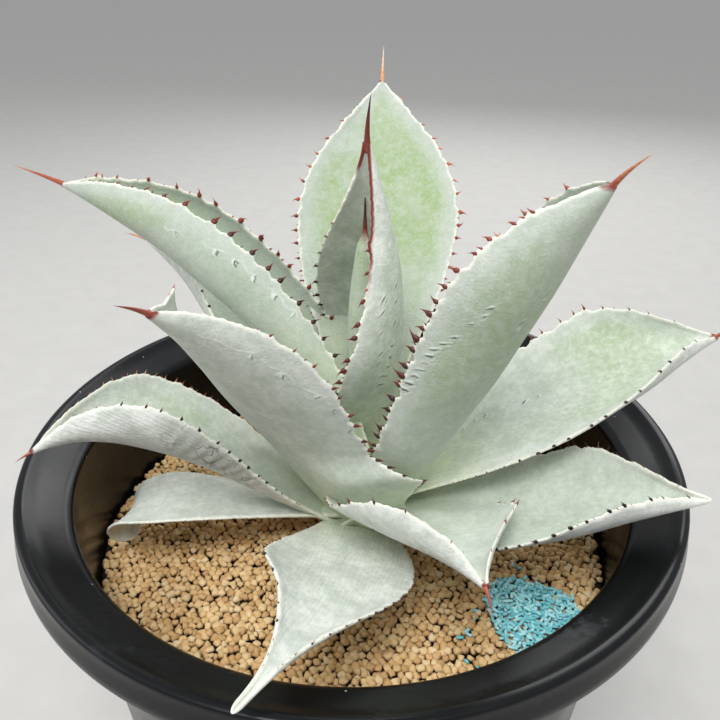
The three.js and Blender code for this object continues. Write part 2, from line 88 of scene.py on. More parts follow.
# settings that many nodes share
soft = {"interpolation_type": "SMOOTHSTEP"}
times = {"operation": "MULTIPLY"}
timesInRange = {"operation": "MULTIPLY", "use_clamp": True}
timesPlus = {"operation": "MULTIPLY_ADD"}
absolute = {"operation": "ABSOLUTE"}
colours = {"data_type": "RGBA"}


# adds one node: an input is given a value, a colour code or the output of another node, by name or in order
def addNode(tree, kind, settings=None, inputs=(), stops=(), give=0):
    made = tree.nodes.new("ShaderNode" + kind)
    for key, value in (settings or {}).items():
        setattr(made, key, value)
    for key, value in inputs.items() if isinstance(inputs, dict) else enumerate(inputs):
        if isinstance(value, bpy.types.NodeSocket):
            tree.links.new(value, made.inputs[key])
        else:
            made.inputs[key].default_value = linearColour(value) if isinstance(value, str) else value
    while stops and len(made.color_ramp.elements) < len(stops):
        made.color_ramp.elements.new(0.5)
    for k, (place, colour) in enumerate(stops):
        made.color_ramp.elements[k].position = place
        made.color_ramp.elements[k].color = linearColour(colour)
    return made if give is None else made.outputs[give]


def newMaterial(name):
    made = bpy.data.materials.new(name)
    made.use_nodes = True
    tree = made.node_tree
    place = addNode(tree, "TexCoord", give="Object")
    return made, tree, tree.nodes["Principled BSDF"], place


# gives a material its colour, its roughness and a bump made from a height
def finishMaterial(tree, shader, colour, rough, height, strength, distance):
    bump = addNode(tree, "Bump", {}, {"Strength": strength, "Distance": distance, "Height": height})
    tree.links.new(colour, shader.inputs["Base Color"])
    tree.links.new(rough, shader.inputs["Roughness"])
    tree.links.new(bump, shader.inputs["Normal"])


def finishPiece(piece, slot, material, *nodes):
    piece.data.materials.clear()
    piece.data.materials.append(material)
    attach(piece, "root")
    if nodes:
        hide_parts(*nodes)


# a shape that was modelled once, as corners and faces, ready to be copied
def takenShape():
    bpy.ops.mesh.select_all(action="SELECT")
    bpy.ops.mesh.normals_make_consistent(inside=False)
    bpy.ops.object.mode_set(mode="OBJECT")
    piece = bpy.context.object
    points = np.array([v.co for v in piece.data.vertices], float)
    faces = [list(p.vertices) for p in piece.data.polygons]
    bpy.data.objects.remove(piece, do_unlink=True)
    return points, faces


# many placed copies of one shape, as one piece with an attribute of three numbers
def copiedPiece(name, faces, placed, attribute, values, smooth):
    points = np.concatenate(placed) * mm
    count = len(placed[0])
    allFaces = [[k * count + v for v in face] for k in range(len(placed)) for face in faces]
    mesh = bpy.data.meshes.new(name)
    mesh.from_pydata(points.tolist(), [], allFaces)
    layer = mesh.attributes.new(attribute, "FLOAT_VECTOR", "POINT")
    layer.data.foreach_set("vector", np.asarray(values, np.float32).ravel())
    mesh.polygons.foreach_set("use_smooth", [smooth] * len(mesh.polygons))
    mesh.update()
    piece = bpy.data.objects.new(name, mesh)
    bpy.context.scene.collection.objects.link(piece)
    return piece


# a grid primitive rolled into a closed body: its corners are placed, its seam is merged and its ends are filled
def rolledGrid(name, points, attributes):
    rows = points.shape[0] - 1
    columns = points.shape[1] - 1
    bpy.ops.object.select_all(action="DESELECT")
    bpy.ops.mesh.primitive_grid_add(x_subdivisions=rows, y_subdivisions=columns, size=2, calc_uvs=False)
    piece = bpy.context.object
    piece.name = name
    flat = np.empty(len(piece.data.vertices) * 3)
    piece.data.vertices.foreach_get("co", flat)
    flat = flat.reshape(-1, 3)
    i = np.rint((flat[:, 0] + 1) / 2 * rows).astype(int)
    j = np.rint((flat[:, 1] + 1) / 2 * columns).astype(int)
    piece.data.vertices.foreach_set("co", (points[i, j] * mm).ravel())
    for key, values in attributes.items():
        layer = piece.data.attributes.new(key, "FLOAT_VECTOR", "POINT")
        layer.data.foreach_set("vector", np.stack(values, -1)[i, j].astype(np.float32).ravel())
    bpy.ops.object.mode_set(mode="EDIT")
    bpy.ops.mesh.select_all(action="SELECT")
    bpy.ops.mesh.remove_doubles(threshold=0.000001)
    bpy.ops.mesh.fill_holes(sides=0)
    bpy.ops.mesh.normals_make_consistent(inside=False)
    bpy.ops.object.mode_set(mode="OBJECT")
    bpy.ops.object.shade_smooth()
    piece.select_set(False)
    return piece


def direction(azimuth, rise):
    a = np.radians(azimuth)
    r = np.radians(rise)
    return np.stack([np.cos(r) * np.cos(a), np.cos(r) * np.sin(a), np.sin(r) + 0 * a], -1)


# leaves: the same values as the solids, then the look of each one. Along a leaf t runs from 0 at its foot to 1
# at its tip, and across it s runs from -1 to 1 at its two edges. Lengths are mm and angles are degrees.
usual = {
    "bumps": (),                # edge, t, reach to the foot and to the tip in t, how far out; below 0 a dent
    "forward": (1, 0),          # up to which t the side over the next foot stands forward, and how far
    "curl": (1, 0),             # from which t the tip rolls under, and how far
    "prints": (),               # rows of nicks, each a face, 1 above or -1 below, and a line in t and s
    "printPitch": 5,            # from nick to nick
    "lowerFace": (0.75, 1.15),  # the lower face's share of the green, and how thick its wax is
    "foot": 0.6,                # how yellow the foot is
    "wrinkle": 0,               # how strong the folds in the skin are
    "redTip": (0.012, 0.012),   # how far the spine's red runs down the edges s = 1 and s = -1, in t
    "steps": (240, 64),         # faces along and around
}
behind = {"roll": (0, 0), "footShare": 0.6, "steps": (110, 40)}    # hidden leaves need fewer faces

# azimuth, sweep, height: where it points, how far it turns on its way, how high it starts
# rise, bend: how steeply it climbs at its foot and its tip, and how late that changes; roll: its twist at both
# widest, footShare, taper: its outline, widest at that t, that share as wide at its foot, then narrowing
# fold: how far each half curves up, and thick: how thick it is, both at the foot, the middle and the tip
# spine: azimuth, rise, length, tone at its foot and its point, radius
# teeth at the edges s = 1 and s = -1: first and last t, how many, length, tone at the leaf's foot and its tip,
# and width for their length; a tone runs from 0, cream, over coral and red-brown to 1, almost black
# green: how much of the flesh shows, and the t where it shows most; bloom: how thick the wax is
# scars: dried skin, a face, from and to in t, from and to in s
leaves = {
    "leaf_01_bud": {
        "azimuth": 14, "sweep": 45, "height": 192, "length": 136, "rise": (48, 113), "bend": 0.36,
        "roll": (-37, -10), "halfWidth": 38, "widest": 0.44, "footShare": 0.42, "taper": 1.2,
        "fold": (140, 89, 124), "thick": (3, 2.4, 1.6), "spine": (300, 80, 15, 0.36, 0.8, 1.1),
        "teeth": {1: (0.12, 0.8, 16, 2.0, 1.0, 0.7, 1.2), -1: (0.1, 0.8, 17, 3.3, 0.8, 0.45, 0.9)},
        "prints": [(-1, ((0.27, -0.58), (0.36, -0.61), (0.48, -0.69), (0.57, -0.74), (0.68, -0.79))),
                   (-1, ((0.38, -0.52), (0.5, -0.55), (0.64, -0.57), (0.7, -0.58)))],
        "printPitch": 4.2, "green": (0.5, 0.5), "bloom": 1.0, "foot": 1.1, "redTip": (0.08, 0.34),
    },
    "leaf_02_back": {
        "azimuth": 80, "sweep": 10, "height": 213, "length": 139, "rise": (67, 40), "bend": 1.2,
        "roll": (-8, 4), "halfWidth": 30, "widest": 0.56, "footShare": 0.4, "taper": 1.2,
        "fold": (50, 20, 40), "thick": (7, 4.5, 2.4), "spine": (87, 44, 17, 0.12, 0.0, 0.9),
        "teeth": {1: (0.28, 0.93, 17, 2.5, 0.5, 0.14, 0.85), -1: (0.28, 0.93, 18, 2.6, 0.42, 0.14, 0.85)},
        "green": (1.0, 0.62), "bloom": 0.3,
    },
    "leaf_03_left_high": {
        "azimuth": 159, "sweep": 0, "height": 205, "length": 149, "rise": (71, 18), "bend": 0.6,
        "roll": (22, 8), "halfWidth": 29, "widest": 0.57, "footShare": 0.76, "taper": 0.92,
        "fold": (70, 128, 99), "thick": (6, 4, 2), "spine": (168, 16, 21, 0.27, 0.16, 1.1),
        "teeth": {1: (0.08, 0.88, 18, 3.9, 0.85, 0.36, 0.85), -1: (0.16, 0.94, 16, 4.0, 0.45, 0.26, 0.8)},
        "prints": [(-1, ((0.34, 0.9), (0.51, 0.82), (0.59, 0.73), (0.66, 0.66)))],
        "printPitch": 7.5, "green": (0.9, 0.78), "bloom": 0.14, "foot": 0.9, "redTip": (0.007, 0.007),
    },
    "leaf_04_right_high": {
        "azimuth": 324, "sweep": -2, "height": 178, "length": 161, "rise": (53, 70), "bend": 0.6,
        "roll": (14, 4), "halfWidth": 33, "widest": 0.71, "footShare": 0.62, "taper": 0.71,
        "fold": (51, 87, 89), "thick": (7, 4.5, 2.2), "spine": (294, 42, 17, 0.24, 0.04, 1.1),
        "bumps": ((-1, 0.1, 0.1, 0.11, -8),),
        "teeth": {1: (0.3, 0.93, 17, 3.2, 0.5, 0.28, 0.9), -1: (0.17, 0.93, 27, 4.0, 0.9, 0.34, 0.78)},
        "prints": [(-1, ((0.5, -0.95), (0.63, -0.87), (0.69, -0.72), (0.76, -0.62))),
                   (-1, ((0.72, -0.3), (0.8, -0.18)))],
        "printPitch": 3.4, "green": (0.85, 0.7), "bloom": 0.3, "foot": 1.1, "lowerFace": (0.75, 0.7),
        "redTip": (0.006, 0.006),
    },
    "leaf_05_left_back": {
        "azimuth": 143, "sweep": -2, "height": 196, "length": 131, "rise": (40, 18), "bend": 1.2,
        "roll": (-11, 34), "halfWidth": 28, "widest": 0.5, "footShare": 0.6, "taper": 1.1,
        "fold": (34, 57, 95), "thick": (7, 4, 2), "spine": (152, 0, 12, 0.1, 0.22, 1.1),
        "teeth": {1: (0.3, 0.9, 13, 1.7, 1.0, 1.0, 1.2), -1: (0.3, 0.9, 13, 1.9, 0.9, 0.8, 1.2)},
        "green": (0.5, 0.5), "bloom": 0.6,
    },
    "leaf_06_left_front": {
        "azimuth": 224, "sweep": 11, "height": 175, "length": 140, "rise": (62, 48), "bend": 1.8,
        "roll": (9, 5), "halfWidth": 30, "widest": 0.61, "footShare": 0.9, "taper": 0.88,
        "fold": (64, 24, 100), "thick": (7, 4.5, 2.2), "spine": (250, 31, 15, 0.24, 0.45, 1.1),
        "bumps": ((-1, 0.87, 0.1, 0.06, 6), (1, 0.23, 0.17, 0.16, 12)), "forward": (0.42, 11),
        "teeth": {1: (0.12, 0.82, 17, 2.9, 0.85, 0.36, 0.8), -1: (0.27, 0.87, 8, 3.3, 0.45, 0.24, 0.8)},
        "prints": [(-1, ((0.5, 0.97), (0.62, 0.9), (0.7, 0.74), (0.82, 0.65), (0.9, 0.45)))],
        "printPitch": 10.5, "green": (0.3, 0.3), "bloom": 0.55, "foot": 0.8, "lowerFace": (0.75, 0.65),
        "redTip": (0.007, 0.007),
    },
    "leaf_07_right": {
        "azimuth": 5, "sweep": 4, "height": 187, "length": 141, "rise": (26, 22), "bend": 1.3,
        "roll": (2, 5), "halfWidth": 31, "widest": 0.69, "footShare": 0.6, "taper": 1.1,
        "fold": (31, 34, 123), "thick": (7, 4.5, 2), "spine": (20, 20, 13, 0.28, 0.5, 0.9),
        "teeth": {1: (0.26, 0.92, 18, 3.3, 0.5, 0.4, 0.5), -1: (0.2, 0.93, 17, 1.5, 1.0, 0.95, 1.5)},
        "prints": [(1, ((0.12, 0.0), (0.2, 0.07), (0.28, 0.24), (0.35, 0.28), (0.53, 0.15), (0.63, 0.0)))],
        "printPitch": 4.4, "green": (0.6, 0.78), "bloom": 0.7, "foot": 1.1,
    },
    "leaf_08_left_arching": {
        "azimuth": 187, "sweep": 15, "height": 170, "length": 125, "rise": (36, -19), "bend": 4,
        "roll": (-1, 21), "halfWidth": 30, "widest": 0.67, "footShare": 0.4, "taper": 1.44,
        "fold": (31, 56, 128), "thick": (7, 4, 1.6), "spine": (182, -35, 8, 0.2, 0.3, 0.8),
        "teeth": {1: (0.22, 0.88, 18, 1.9, 1.0, 0.8, 1.0), -1: (0.36, 0.95, 26, 2.0, 0.3, 0.05, 0.4)},
        "green": (0.4, 0.6), "bloom": 0.6, "lowerFace": (0.0, 1.6), "wrinkle": 0.8,
        "scars": (-1, 0.36, 0.7, 0.5, 1.1),
    },
    "leaf_09_right_low": {
        "azimuth": 330, "sweep": 12, "height": 180, "length": 123, "rise": (13, 29), "bend": 1.3,
        "roll": (4, -4), "halfWidth": 28, "widest": 0.59, "footShare": 0.6, "taper": 1.2,
        "fold": (48, 30, 130), "thick": (6, 4, 1.6),
        "teeth": {1: (0.3, 0.93, 21, 2.5, 0.45, 0.8, 0.5), -1: (0.26, 0.95, 19, 2.0, 1.0, 0.95, 1.2)},
        "green": (0.4, 0.75), "bloom": 0.6, "lowerFace": (0.0, 1.2), "scars": (1, 0.08, 0.46, 0.84, 1.1),
    },
    "leaf_10_front_right": {
        "azimuth": 296, "sweep": -2, "height": 181, "length": 85, "rise": (28, 12), "bend": 1.3,
        "roll": (-14, -18), "halfWidth": 32, "widest": 0.63, "footShare": 0.65, "taper": 1.39,
        "fold": (37, 34, 130), "thick": (6, 4, 1.6), "spine": (268, 8, 13, 0.2, 0.4, 0.85),
        "teeth": {1: (0.45, 0.9, 6, 2.3, 0.6, 0.35, 0.8), -1: (0.16, 0.88, 10, 2.1, 0.72, 0.6, 0.9)},
        "green": (0.3, 0.4), "bloom": 0.5,
    },
    "leaf_11_left_low": {
        "azimuth": 192, "sweep": -12, "height": 173, "length": 95, "rise": (17, -32), "bend": 2.2,
        "curl": (0.85, -165), "roll": (27, 9), "halfWidth": 21, "widest": 0.7, "footShare": 0.55,
        "taper": 0.62, "fold": (5, 5, 35), "thick": (5, 3.5, 1.6),
        "teeth": {1: (0.3, 0.9, 9, 0.9, 0.7, 0.4, 1.0), -1: (0.3, 0.95, 10, 0.9, 0.4, 0.6, 1.0)},
        "green": (0.15, 0.5), "bloom": 0.85, "wrinkle": 0.7,
    },
    "leaf_12_front_low": {
        "azimuth": 267, "sweep": -22, "height": 172, "length": 130, "rise": (25, 16), "bend": 1.4,
        "roll": (-2, -18), "halfWidth": 23, "widest": 0.37, "footShare": 0.55, "taper": 2.2,
        "fold": (18, 22, 130), "thick": (6, 4, 1.6), "bumps": ((-1, 0.58, 0.22, 0.06, 5),),
        "teeth": {1: (0.2, 0.86, 19, 2.0, 0.5, 0.95, 0.8), -1: (0.3, 0.86, 14, 1.6, 0.85, 0.9, 1.1)},
        "green": (0.1, 0.5), "bloom": 1.0, "wrinkle": 1.0,
    },
    "leaf_13_back_right": {
        "azimuth": 35, "sweep": 4, "height": 174, "length": 90, "rise": (28, 22), "bend": 1.3,
        **behind, "halfWidth": 22, "widest": 0.5, "taper": 1.1,
        "fold": (45, 35, 80), "thick": (6, 4, 2), "spine": (39, 20, 13, 0.3, 0.6, 1.0),
        "bumps": ((-1, 0.22, 0.2, 0.14, -7),),
        "teeth": {1: (0.25, 0.9, 11, 2.4, 0.8, 0.3, 0.9), -1: (0.4, 0.9, 9, 2.4, 0.8, 0.3, 0.9)},
        "green": (0.6, 0.6), "bloom": 0.55,
    },
    "leaf_14_back_left": {
        "azimuth": 118, "sweep": -4, "height": 184, "length": 95, "rise": (42, 24), "bend": 1.3,
        **behind, "halfWidth": 24, "widest": 0.52, "taper": 1.1,
        "fold": (45, 30, 80), "thick": (6, 4, 2), "spine": (114, 22, 13, 0.3, 0.6, 1.0),
        "teeth": {1: (0.25, 0.9, 12, 2.5, 0.8, 0.3, 0.9), -1: (0.25, 0.9, 12, 2.5, 0.8, 0.3, 0.9)},
        "green": (0.6, 0.6), "bloom": 0.55,
    },
    "leaf_15_back_low": {
        "azimuth": 88, "sweep": 5, "height": 176, "length": 118, "rise": (30, 4), "bend": 1.4,
        **behind, "halfWidth": 27, "widest": 0.55, "taper": 1.2,
        "fold": (40, 28, 90), "thick": (6, 4, 1.8), "spine": (93, 2, 12, 0.3, 0.6, 1.0),
        "teeth": {1: (0.25, 0.9, 13, 2.5, 0.9, 0.4, 0.9), -1: (0.25, 0.9, 13, 2.5, 0.9, 0.4, 0.9)},
        "green": (0.5, 0.6), "bloom": 0.6,
    },
}

blade = {
    "axis": (3, 0),          # mm, the trunk's place
    "footRadius": 8,         # mm, where the feet stand on it
    "pathSteps": 600,        # a leaf's middle line is summed up from this many
    "tipHalfWidth": 1.2,     # mm
    "bluntFrom": 0.972,      # t, where a tip without a spine starts to round off
    "edge": 1.0,             # mm, thickness at the margin
    "bead": 0.22,            # mm, the thickened horny margin
    "teat": 1.7,             # mm, the fleshy rise that carries each tooth
    "teatWidth": 1.9,        # mm
    "scallop": 0.24,         # mm, the waviness between the teeth
    "ripple": 0.35,          # mm, how uneven the faces are
    "spineRoot": 3.2,        # mm, hidden in the tip
    "noPrint": 30.0,         # mm, a distance that stands for no print near
    "seed": 21,
}


def threeWay(values, t):
    foot, middle, tip = values
    return foot * (1 - t) * (1 - 2 * t) + middle * 4 * t * (1 - t) + tip * t * (2 * t - 1)


def smoothly(value, low, high):
    share = np.clip((value - low) / (high - low), 0, 1)
    return share * share * (3 - 2 * share)


def halfWidthAt(leaf, t):
    toWidest = np.sin(np.pi / 2 * np.minimum(t / leaf["widest"], 1)) ** 1.5
    past = np.clip((t - leaf["widest"]) / (1 - leaf["widest"]), 0, 1)
    inner = leaf["footShare"] + (1 - leaf["footShare"]) * toWidest
    outer = np.maximum(np.cos(np.pi / 2 * past), 0) ** leaf["taper"]
    half = leaf["halfWidth"] * np.where(t < leaf["widest"], inner, outer) + blade["tipHalfWidth"] * t
    if "spine" in leaf:
        return half
    blunt = np.clip((t - blade["bluntFrom"]) / (1 - blade["bluntFrom"]), 0, 1)
    return half * np.sqrt(1 - 0.93 * blunt * blunt)


def riseAt(leaf, t):
    rise = leaf["rise"][0] + (leaf["rise"][1] - leaf["rise"][0]) * t ** leaf["bend"]
    start, turn = leaf["curl"]
    return rise + turn * np.clip((t - start) / max(1 - start, 0.01), 0, 1) ** 1.5


def bladeFrames(leaf, t):
    count = blade["pathSteps"]
    fine = np.linspace(0, 1, count + 1)
    middle = (fine[1:] + fine[:-1]) / 2
    steps = direction(leaf["azimuth"] + leaf["sweep"] * middle, riseAt(leaf, middle)) * leaf["length"] / count
    a = math.radians(leaf["azimuth"])
    foot = np.array([blade["axis"][0] + blade["footRadius"] * math.cos(a),
                     blade["axis"][1] + blade["footRadius"] * math.sin(a), leaf["height"]])
    path = np.concatenate([[foot], foot + np.cumsum(steps, 0)])
    point = np.stack([np.interp(t, fine, path[:, k]) for k in range(3)], -1)
    azimuth = leaf["azimuth"] + leaf["sweep"] * t
    along = direction(azimuth, riseAt(leaf, t))
    level = direction(azimuth + 90, 0 * t)
    upper = np.cross(along, level)
    roll = np.radians(leaf["roll"][0] + (leaf["roll"][1] - leaf["roll"][0]) * t)[..., None]
    side = level * np.cos(roll) + upper * np.sin(roll)
    face = upper * np.cos(roll) - level * np.sin(roll)
    return point, along, side, face


# the side of a foot that lies over the foot beside it stands forward
def forwardAt(leaf, t, s):
    until, amount = leaf["forward"]
    share = (1 - smoothly(t, until * 0.6, until)) * smoothly(s, -0.1, 0.6)
    return (amount * share)[..., None] * np.array([0, -0.87, 0.5])


# out is how far a point moves away from the midrib in the blade, and depth how far it lies above its middle
def bladePoint(leaf, t, s, depth, out):
    point, along, side, face = bladeFrames(leaf, t)
    turn = np.maximum(np.radians(threeWay(leaf["fold"], t)), 0.01)
    curve = halfWidthAt(leaf, t) / turn
    angle = s * turn
    sign = np.where(s < 0, -1.0, 1.0)
    x = (curve - depth) * np.sin(angle) + out * sign * np.cos(turn)
    y = curve * (1 - np.cos(angle)) + depth * np.cos(angle) + out * np.sin(turn)
    return point + side * x[..., None] + face * y[..., None] + forwardAt(leaf, t, s)


teeth = {
    "crowding": 1.22,             # above 1 they stand closer at the foot of the leaf
    "jitter": 0.22,               # share of the pitch
    "sizes": (0.78, 1.14),        # times the length that the leaf gives
    "between": 0.75,              # chance of a small tooth after each large one
    "betweenAt": (0.35, 0.65),    # share of the pitch
    "betweenSizes": (0.22, 0.42),
    "last": 0.965,                # t, past which there are none
    "baseHalfWidth": 0.36,        # share of a tooth's length
    "thickness": 0.7,             # share of its width
    "sink": 0.9,                  # mm, root hidden in the margin
    "lean": (-0.25, 0.2),         # towards the foot
    "hook": (0.3, 1.0),           # how far the point bends over, every fourth one the other way
    "sway": 0.35,                 # up or down
}


def toothPlaces(leaf, edge, rng):
    first, last, count, size, footTone, tipTone, wide = leaf["teeth"][edge]
    pitch = (last - first) / (count - 1)
    crests = [bump[1] for bump in leaf["bumps"] if bump[0] == edge and bump[4] > 0]
    places = []
    for k in range(count):
        stepped = k + rng.uniform(-teeth["jitter"], teeth["jitter"])
        share = min(max(stepped / (count - 1), 0), 1) ** teeth["crowding"]
        t = first + (last - first) * share
        for crest in crests:
            t = crest if abs(t - crest) < pitch * 0.55 else t
        grow = 0.45 + 0.55 * math.sin(math.pi * min(max(share, 0.05), 0.95))
        tone = footTone + (tipTone - footTone) * share
        places.append((t, size * grow * rng.uniform(*teeth["sizes"]), tone + rng.uniform(-0.07, 0.07), wide))
        if rng.random() < teeth["between"]:
            later = t + pitch * rng.uniform(*teeth["betweenAt"])
            small = size * rng.uniform(*teeth["betweenSizes"])
            places.append((later, small, tone + rng.uniform(-0.3, 0.2), wide * 1.1))
    return [place for place in places if place[0] < teeth["last"]]


def bumpOut(leaf, edge, t):
    out = 0 * t
    for side, at, before, past, rise in leaf["bumps"]:
        reach = np.where(t < at, before, past)
        out = out + (side == edge) * rise * np.maximum(0, 1 - np.abs(t - at) / reach) ** 1.1
    return out


# the margin: a rise under each tooth, and low scallops between them
def marginOut(leaf, edge, t, places):
    out = bumpOut(leaf, edge, t)
    width = blade["teatWidth"] / leaf["length"]
    for place, size, _, _ in places:
        out = out + blade["teat"] * min(size / 3.4, 1) * np.exp(-((t - place) / width) ** 2)
    lengthMm = t * leaf["length"]
    small = np.sin(lengthMm * 2.4 + edge) * np.sin(lengthMm * 0.83 + leaf["azimuth"])
    return out + blade["scallop"] * small * np.clip(halfWidthAt(leaf, t) / 10, 0, 1)


# dried skin: strongest in the middle of its stretch of one face
def scarAt(leaf, t, s, upper):
    if "scars" not in leaf:
        return 0 * t
    face, fromT, toT, fromS, toS = leaf["scars"]
    inT = np.clip(1 - np.abs(t - (fromT + toT) / 2) / ((toT - fromT) / 2), 0, 1)
    inS = np.clip(1 - np.abs(s - (fromS + toS) / 2) / ((toS - fromS) / 2), 0, 1)
    return np.sqrt(inT * inS) * (upper == face)


# how far a point lies from the nearest row of prints, the same with its side as a sign, and the pitch, in mm
def printsAt(leaf, t, s, upper, half):
    unsigned = np.full_like(t, blade["noPrint"])
    signed = unsigned
    for face, line in leaf["prints"]:
        shares = [p[0] for p in line]
        gap = (s - np.interp(t, shares, [p[1] for p in line])) * half
        past = np.maximum(shares[0] - t, t - shares[-1]) * leaf["length"]
        reach = np.where(upper == face, np.hypot(gap, np.maximum(past, 0)), blade["noPrint"])
        signed = np.where(reach < unsigned, gap, signed)
        unsigned = np.minimum(unsigned, reach)
    return unsigned, signed, leaf["printPitch"] + 0 * t


# how green, how waxed and how yellow from the foot the skin is, each as a share
def coverAt(leaf, t, upper, edgeMm):
    amount, centre = leaf["green"]
    lowerGreen, lowerBloom = leaf["lowerFace"]
    green = amount * (0.3 + 0.7 * np.exp(-((t - centre) / 0.28) ** 2)) * np.where(upper > 0, 1, lowerGreen)
    bloom = leaf["bloom"] * np.where(upper > 0, 1, lowerBloom / max(leaf["bloom"], 0.5))
    return green * smoothly(edgeMm, 0.5, 9), np.clip(bloom, 0, 1), leaf["foot"] * np.clip(1 - t / 0.36, 0, 1)


# the red that runs from the end spine down the margin
def redAt(leaf, t, s, edgeMm):
    redTip = np.where(s > 0, leaf["redTip"][0], leaf["redTip"][1])
    nearMargin = smoothly(1.1 - edgeMm, 0.2, 0.7)
    red = smoothly(t, 1 - redTip, 1 - redTip * 0.6) * np.maximum(nearMargin, smoothly(t, 0.99, 0.999))
    return red * ("spine" in leaf)


# each leaf is a grid: one way runs along it, the other goes round it, over the upper face and back below
def leafBlade(name, leaf, rng):
    nAlong, nAround = leaf["steps"]
    t = np.linspace(0, 1, nAlong + 1)[:, None] * np.ones((1, nAround + 1))
    phi = np.linspace(0, 2 * np.pi, nAround + 1)[None, :] * np.ones((nAlong + 1, 1))
    s = -np.cos(phi)
    upper = np.where(np.sin(phi) >= -1e-9, 1.0, -1.0)
    half = halfWidthAt(leaf, t)
    edgeMm = (1 - np.abs(s)) * half
    turn = np.maximum(np.radians(threeWay(leaf["fold"], t)), 0.01)

    depth = (blade["edge"] + (threeWay(leaf["thick"], t) - blade["edge"]) * (1 - s * s)) / 2
    depth = depth + blade["bead"] * smoothly(np.abs(s) * half, half - 2.4, half - 1) * smoothly(half, 4, 9)
    depth = depth * np.sqrt(np.maximum(1 - np.abs(s) ** 26, 0))
    if "spine" not in leaf:
        depth = depth * np.sqrt(1 - 0.9 * np.clip((t - 0.975) / 0.025, 0, 1) ** 2)
    depth = np.where(upper > 0, np.minimum(depth, half / turn * 0.55), -depth)

    rows = {edge: toothPlaces(leaf, edge, rng) for edge in (1, -1)}
    nearEdge = np.clip((np.abs(s) - 0.8) / 0.2, 0, 1) ** 2
    bumps = np.where(s > 0, bumpOut(leaf, 1, t), bumpOut(leaf, -1, t))
    margin = np.where(s > 0, marginOut(leaf, 1, t, rows[1]), marginOut(leaf, -1, t, rows[-1]))
    out = (margin - bumps) * nearEdge + bumps * np.clip((np.abs(s) - 0.55) / 0.45, 0, 1) ** 1.3

    lengthMm = t * leaf["length"]
    scar = scarAt(leaf, t, s, upper)
    ripple = np.sin(lengthMm * 0.11 + s * 2.3 + leaf["azimuth"]) * np.sin(lengthMm * 0.043 + leaf["height"])
    ripple = ripple + scar * np.sin(lengthMm * 1.4 + s * 5)
    relief = blade["ripple"] * ripple * (1 - nearEdge) * np.sin(np.pi * np.clip(t, 0.02, 0.98))
    attributes = {
        "spotMm": (lengthMm, s * half, edgeMm),
        "coverShare": coverAt(leaf, t, upper, edgeMm),
        "printMm": printsAt(leaf, t, s, upper, half),
        "markShare": (scar, redAt(leaf, t, s, edgeMm), leaf["wrinkle"] + 0 * t),
    }
    return rolledGrid(name + "_blade", bladePoint(leaf, t, s, depth + relief, out), attributes), rows


# one tooth, modelled once: a flattened bulb drawn out to a thin point, of a few dozen faces
def toothShape():
    bpy.ops.object.select_all(action="DESELECT")
    bpy.ops.mesh.primitive_circle_add(vertices=6, radius=0.8, fill_type="NGON")
    bpy.ops.object.mode_set(mode="EDIT")
    for rise, narrow in ((0.2, 1.2), (0.15, 0.9), (0.13, 0.56), (0.17, 0.58), (0.18, 0.6), (0.17, 0.15)):
        bpy.ops.mesh.extrude_region_move(TRANSFORM_OT_translate={"value": (0, 0, rise)})
        bpy.ops.transform.resize(value=(narrow, narrow, 1), center_override=(0, 0, 0))
    return takenShape()


# one end spine: a long slender horn with enough rings to bend smoothly
def spineShape():
    bpy.ops.object.select_all(action="DESELECT")
    bpy.ops.mesh.primitive_circle_add(vertices=18, radius=1, fill_type="NGON")
    bpy.ops.object.mode_set(mode="EDIT")
    rings = 18
    radius = 1    # of the last ring, before it is placed at its real size
    for k in range(1, rings + 1):
        target = max((1 - (k / rings) ** 1.25) ** 0.9, 0.04)
        bpy.ops.mesh.extrude_region_move(TRANSFORM_OT_translate={"value": (0, 0, 1 / rings)})
        bpy.ops.transform.resize(value=(target / radius, target / radius, 1), center_override=(0, 0, 0))
        radius = target
    return takenShape()


# teeth stand on the margin, each one leaning, hooked and bent its own way; their attribute hornTone holds the
# tone, how far along the horn a corner lies, and 1 on a tooth or 0 on a spine
def leafTeeth(name, leaf, rows, shape, rng):
    unit, faces = shape
    placed = []
    tones = []
    for edge, places in rows.items():
        for t, size, tone, wide in places:
            tt = np.array([t])
            out = marginOut(leaf, edge, tt, places)
            root = bladePoint(leaf, tt, np.array([float(edge)]), 0 * tt, out)[0]
            _, along, side, face = (v[0] for v in bladeFrames(leaf, tt))
            turn = max(math.radians(float(threeWay(leaf["fold"], tt)[0])), 0.01)
            outward = side * edge * math.cos(turn) + face * math.sin(turn)
            across = np.cross(along, outward)
            z = unit[:, 2]
            height = size + teeth["sink"]
            lean = rng.uniform(*teeth["lean"])
            hook = rng.uniform(*teeth["hook"]) * rng.choice((1, 1, 1, -1))
            sway = rng.uniform(-teeth["sway"], teeth["sway"])
            half = (0.45 + size) * 0.9 * teeth["baseHalfWidth"] * wide
            reach = height * (z - 0.12 * abs(hook) * z * z) - teeth["sink"]
            forth = unit[:, 0] * half - (lean * z + hook * z ** 3) * size * 0.6
            over = unit[:, 1] * half * teeth["thickness"] + sway * z * z * size * 0.5
            placed.append(root + outward * reach[:, None] + along * forth[:, None] + across * over[:, None])
            tones.extend([(tone, height, 1.0) for height in z])
    return copiedPiece(name + "_teeth", faces, placed, "hornTone", tones, True)


def bentHorn(name, shape, start, along, side, face, end, radius, footTone, pointTone):
    unit, faces = shape
    z = unit[:, 2]
    bend = start + along * np.linalg.norm(end - start) * 0.3
    centre = ((1 - z) ** 2)[:, None] * start + (2 * z * (1 - z))[:, None] * bend + (z * z)[:, None] * end
    place = centre + side * (unit[:, 0] * radius)[:, None] + face * (unit[:, 1] * radius * 0.9)[:, None]
    tones = [(footTone + (pointTone - footTone) * k ** 2.2, k, 0.0) for k in z]
    return copiedPiece(name, faces, [place], "hornTone", tones, True)


